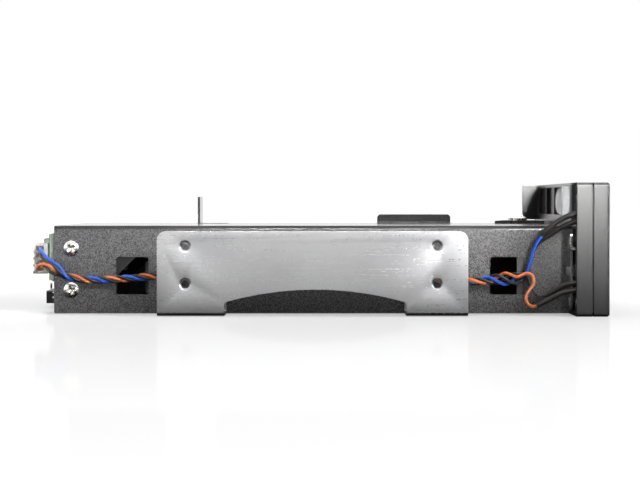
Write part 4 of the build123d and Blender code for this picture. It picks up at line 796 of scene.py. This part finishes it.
# Capacitors: drawn aluminium cans on black bases.
dress(new_material("can_aluminium", lambda place: place.node("ShaderNodeBsdfPrincipled", {}, {
    "Base Color": place.noise(400, 3).blend((0.66, 0.66, 0.67, 1), (0.80, 0.80, 0.80, 1)),
    "Metallic": 1.0,
    "Roughness": place.noise(1500, 3) * 0.15 + 0.3,
    "Normal": place.soft_edge(0.0002),
})), "capacitors")

# Lamps: clear epoxy with a faint milky body.
dress(new_material("clear_epoxy", lambda place: place.node("ShaderNodeBsdfPrincipled", {}, {
    "Base Color": place.noise(600, 2).blend((0.70, 0.75, 0.78, 1), (0.82, 0.86, 0.88, 1)),
    "Roughness": place.noise(900, 2) * 0.06 + 0.08,
    "Transmission Weight": 0.55,
    "IOR": 1.5,
})), "power_led", "activity_led")


# The stage: a white floor with a faint mirror image. A black card lies under and round the object.
# Only the object sees it, so it is part of the floor's own material.
def floor_look(place):
    rays = place.node("ShaderNodeLightPath")
    shown = rays.out("Is Camera Ray").math("MAXIMUM", rays.out("Is Transmission Ray"))
    away = place.node("ShaderNodeVectorMath", {"operation": "LENGTH"}, {0: place}).out("Value")
    card = away.band(0.16, 0.42)
    lit = place.node("ShaderNodeBsdfDiffuse", {}, {"Color": (0.8, 0.8, 0.8, 1)})
    glow = place.node("ShaderNodeEmission", {}, {
        "Color": away.band(0.10, 0.9).blend((0.40, 0.40, 0.40, 1), (1, 1, 1, 1)), "Strength": 1.0,
    })
    white = place.node("ShaderNodeAddShader", {}, {0: lit, 1: glow})
    sheen = place.node("ShaderNodeBsdfGlossy", {}, {"Color": (1, 1, 1, 1), "Roughness": 0.06})
    glassy = place.node("ShaderNodeMixShader", {}, {"Fac": 0.14, 1: white, 2: sheen})
    matt = place.node("ShaderNodeBsdfDiffuse", {}, {
        "Color": card.blend((0.01, 0.01, 0.01, 1), (0.8, 0.8, 0.8, 1)),
    })
    mirrored = place.node("ShaderNodeEmission", {}, {
        "Color": card.blend((0.01, 0.01, 0.01, 1), (1, 1, 1, 1)), "Strength": 1.0,
    })
    glossy = rays.out("Is Glossy Ray")
    unseen = place.node("ShaderNodeMixShader", {}, {"Fac": glossy, 1: matt, 2: mirrored})
    return place.node("ShaderNodeMixShader", {}, {"Fac": shown, 1: unseen, 2: glassy})


floor_corners = np.array([(-6, -6, 0), (6, -6, 0), (6, 6, 0), (-6, 6, 0)], float)
floor = new_piece("floor", floor_corners, np.array([[0, 1, 2, 3]]), False)
floor.data.materials.append(new_material("white_floor", floor_look))

# Flags: black cards that the camera doesn't see stand just over the roof's near edge. They keep the
# strips off the roof, which would mirror them when seen from behind. A gap lets light onto the tall tab.
flag_foot = 0.0296
flag_top = 0.080
flag_corners = [
    (x, -0.0532, z)
    for left, right in ((-0.0805, -0.0480), (-0.0330, 0.0810))
    for x, z in ((left, flag_foot), (right, flag_foot), (right, flag_top), (left, flag_top))
]
flags = new_piece("flags", np.array(flag_corners), np.arange(8).reshape(2, 4), False)
flags.data.materials.append(new_material("black_card", lambda place: place.node(
    "ShaderNodeBsdfDiffuse", {}, {"Color": (0.01, 0.01, 0.01, 1)},
)))
flags.visible_camera = False
flags.visible_transmission = False

world = bpy.data.worlds.new("studio")
bpy.context.scene.world = world
world.use_nodes = True
world.node_tree.nodes.clear()
sky = Shade(world.node_tree.nodes.new("ShaderNodeLightPath").outputs["Is Camera Ray"])
shown = sky.math("MAXIMUM", sky.out("Is Transmission Ray")).math("MAXIMUM", sky.out("Is Glossy Ray"))
room = sky.node("ShaderNodeBackground", {}, {"Color": (1, 1, 1, 1), "Strength": 0.15})
white = sky.node("ShaderNodeBackground", {}, {"Color": (1, 1, 1, 1), "Strength": 1.0})
backdrop = sky.node("ShaderNodeMixShader", {}, {"Fac": shown, 1: room, 2: white})
sky.node("ShaderNodeOutputWorld", {}, {"Surface": backdrop})


def soft_light(name, place, aim, width, height, power, grid=180):
    """A rectangular softbox that faces the aim. Its grid, in degrees, keeps the light within that angle."""
    lamp = bpy.data.lights.new(name, "AREA")
    lamp.shape = "RECTANGLE"
    lamp.size = width
    lamp.size_y = height
    lamp.energy = power
    lamp.spread = math.radians(grid)
    carrier = bpy.data.objects.new(name, lamp)
    bpy.context.scene.collection.objects.link(carrier)
    carrier.location = place
    heading = np.array(aim, float) - np.array(place, float)
    yaw = math.atan2(heading[1], heading[0])
    pitch = math.atan2(heading[2], math.hypot(heading[0], heading[1]))
    carrier.rotation_euler = (math.pi / 2 + pitch, 0, yaw - math.pi / 2)
    carrier.visible_camera = False


# Three large boxes fill the room. The strips, with narrow grids, draw the bright tops of the bracket,
# the wall, the plug and the bezel, which fade towards the ground.
soft_light("top_box", (0.0, 0.0, 1.1), (0, 0, 0), 1.2, 0.9, 5)
soft_light("rear_box", (-0.5, 0.9, 0.7), (0, 0, 0.02), 1.5, 1.1, 3.5)
soft_light("right_box", (0.75, -0.40, 0.40), (0.02, 0, 0.02), 0.5, 0.5, 2.5)
soft_light("bracket_strip", (-0.002, -0.45, 0.20), (-0.002, -0.073, 0.043), 0.11, 0.03, 0.012, 9)
soft_light("wall_strip", (0.36, -0.42, 0.19), (0.0, -0.055, 0.042), 0.24, 0.03, 0.020, 12)
soft_light("rear_end_strip", (0.12, -0.42, 0.19), (-0.066, -0.055, 0.042), 0.20, 0.03, 0.020, 12)
soft_light("plug_strip", (-0.42, -0.34, 0.16), (-0.093, -0.053, 0.018), 0.05, 0.05, 0.004, 6)
soft_light("bezel_key", (0.27, -0.30, 0.12), (0.085, -0.074, 0.045), 0.04, 0.03, 0.012, 14)
soft_light("front_strip", (0.165, -0.62, 0.135), (0.105, -0.07, 0.050), 0.10, 0.05, 0.024, 9)

bpy.context.scene.view_settings.view_transform = "Standard"
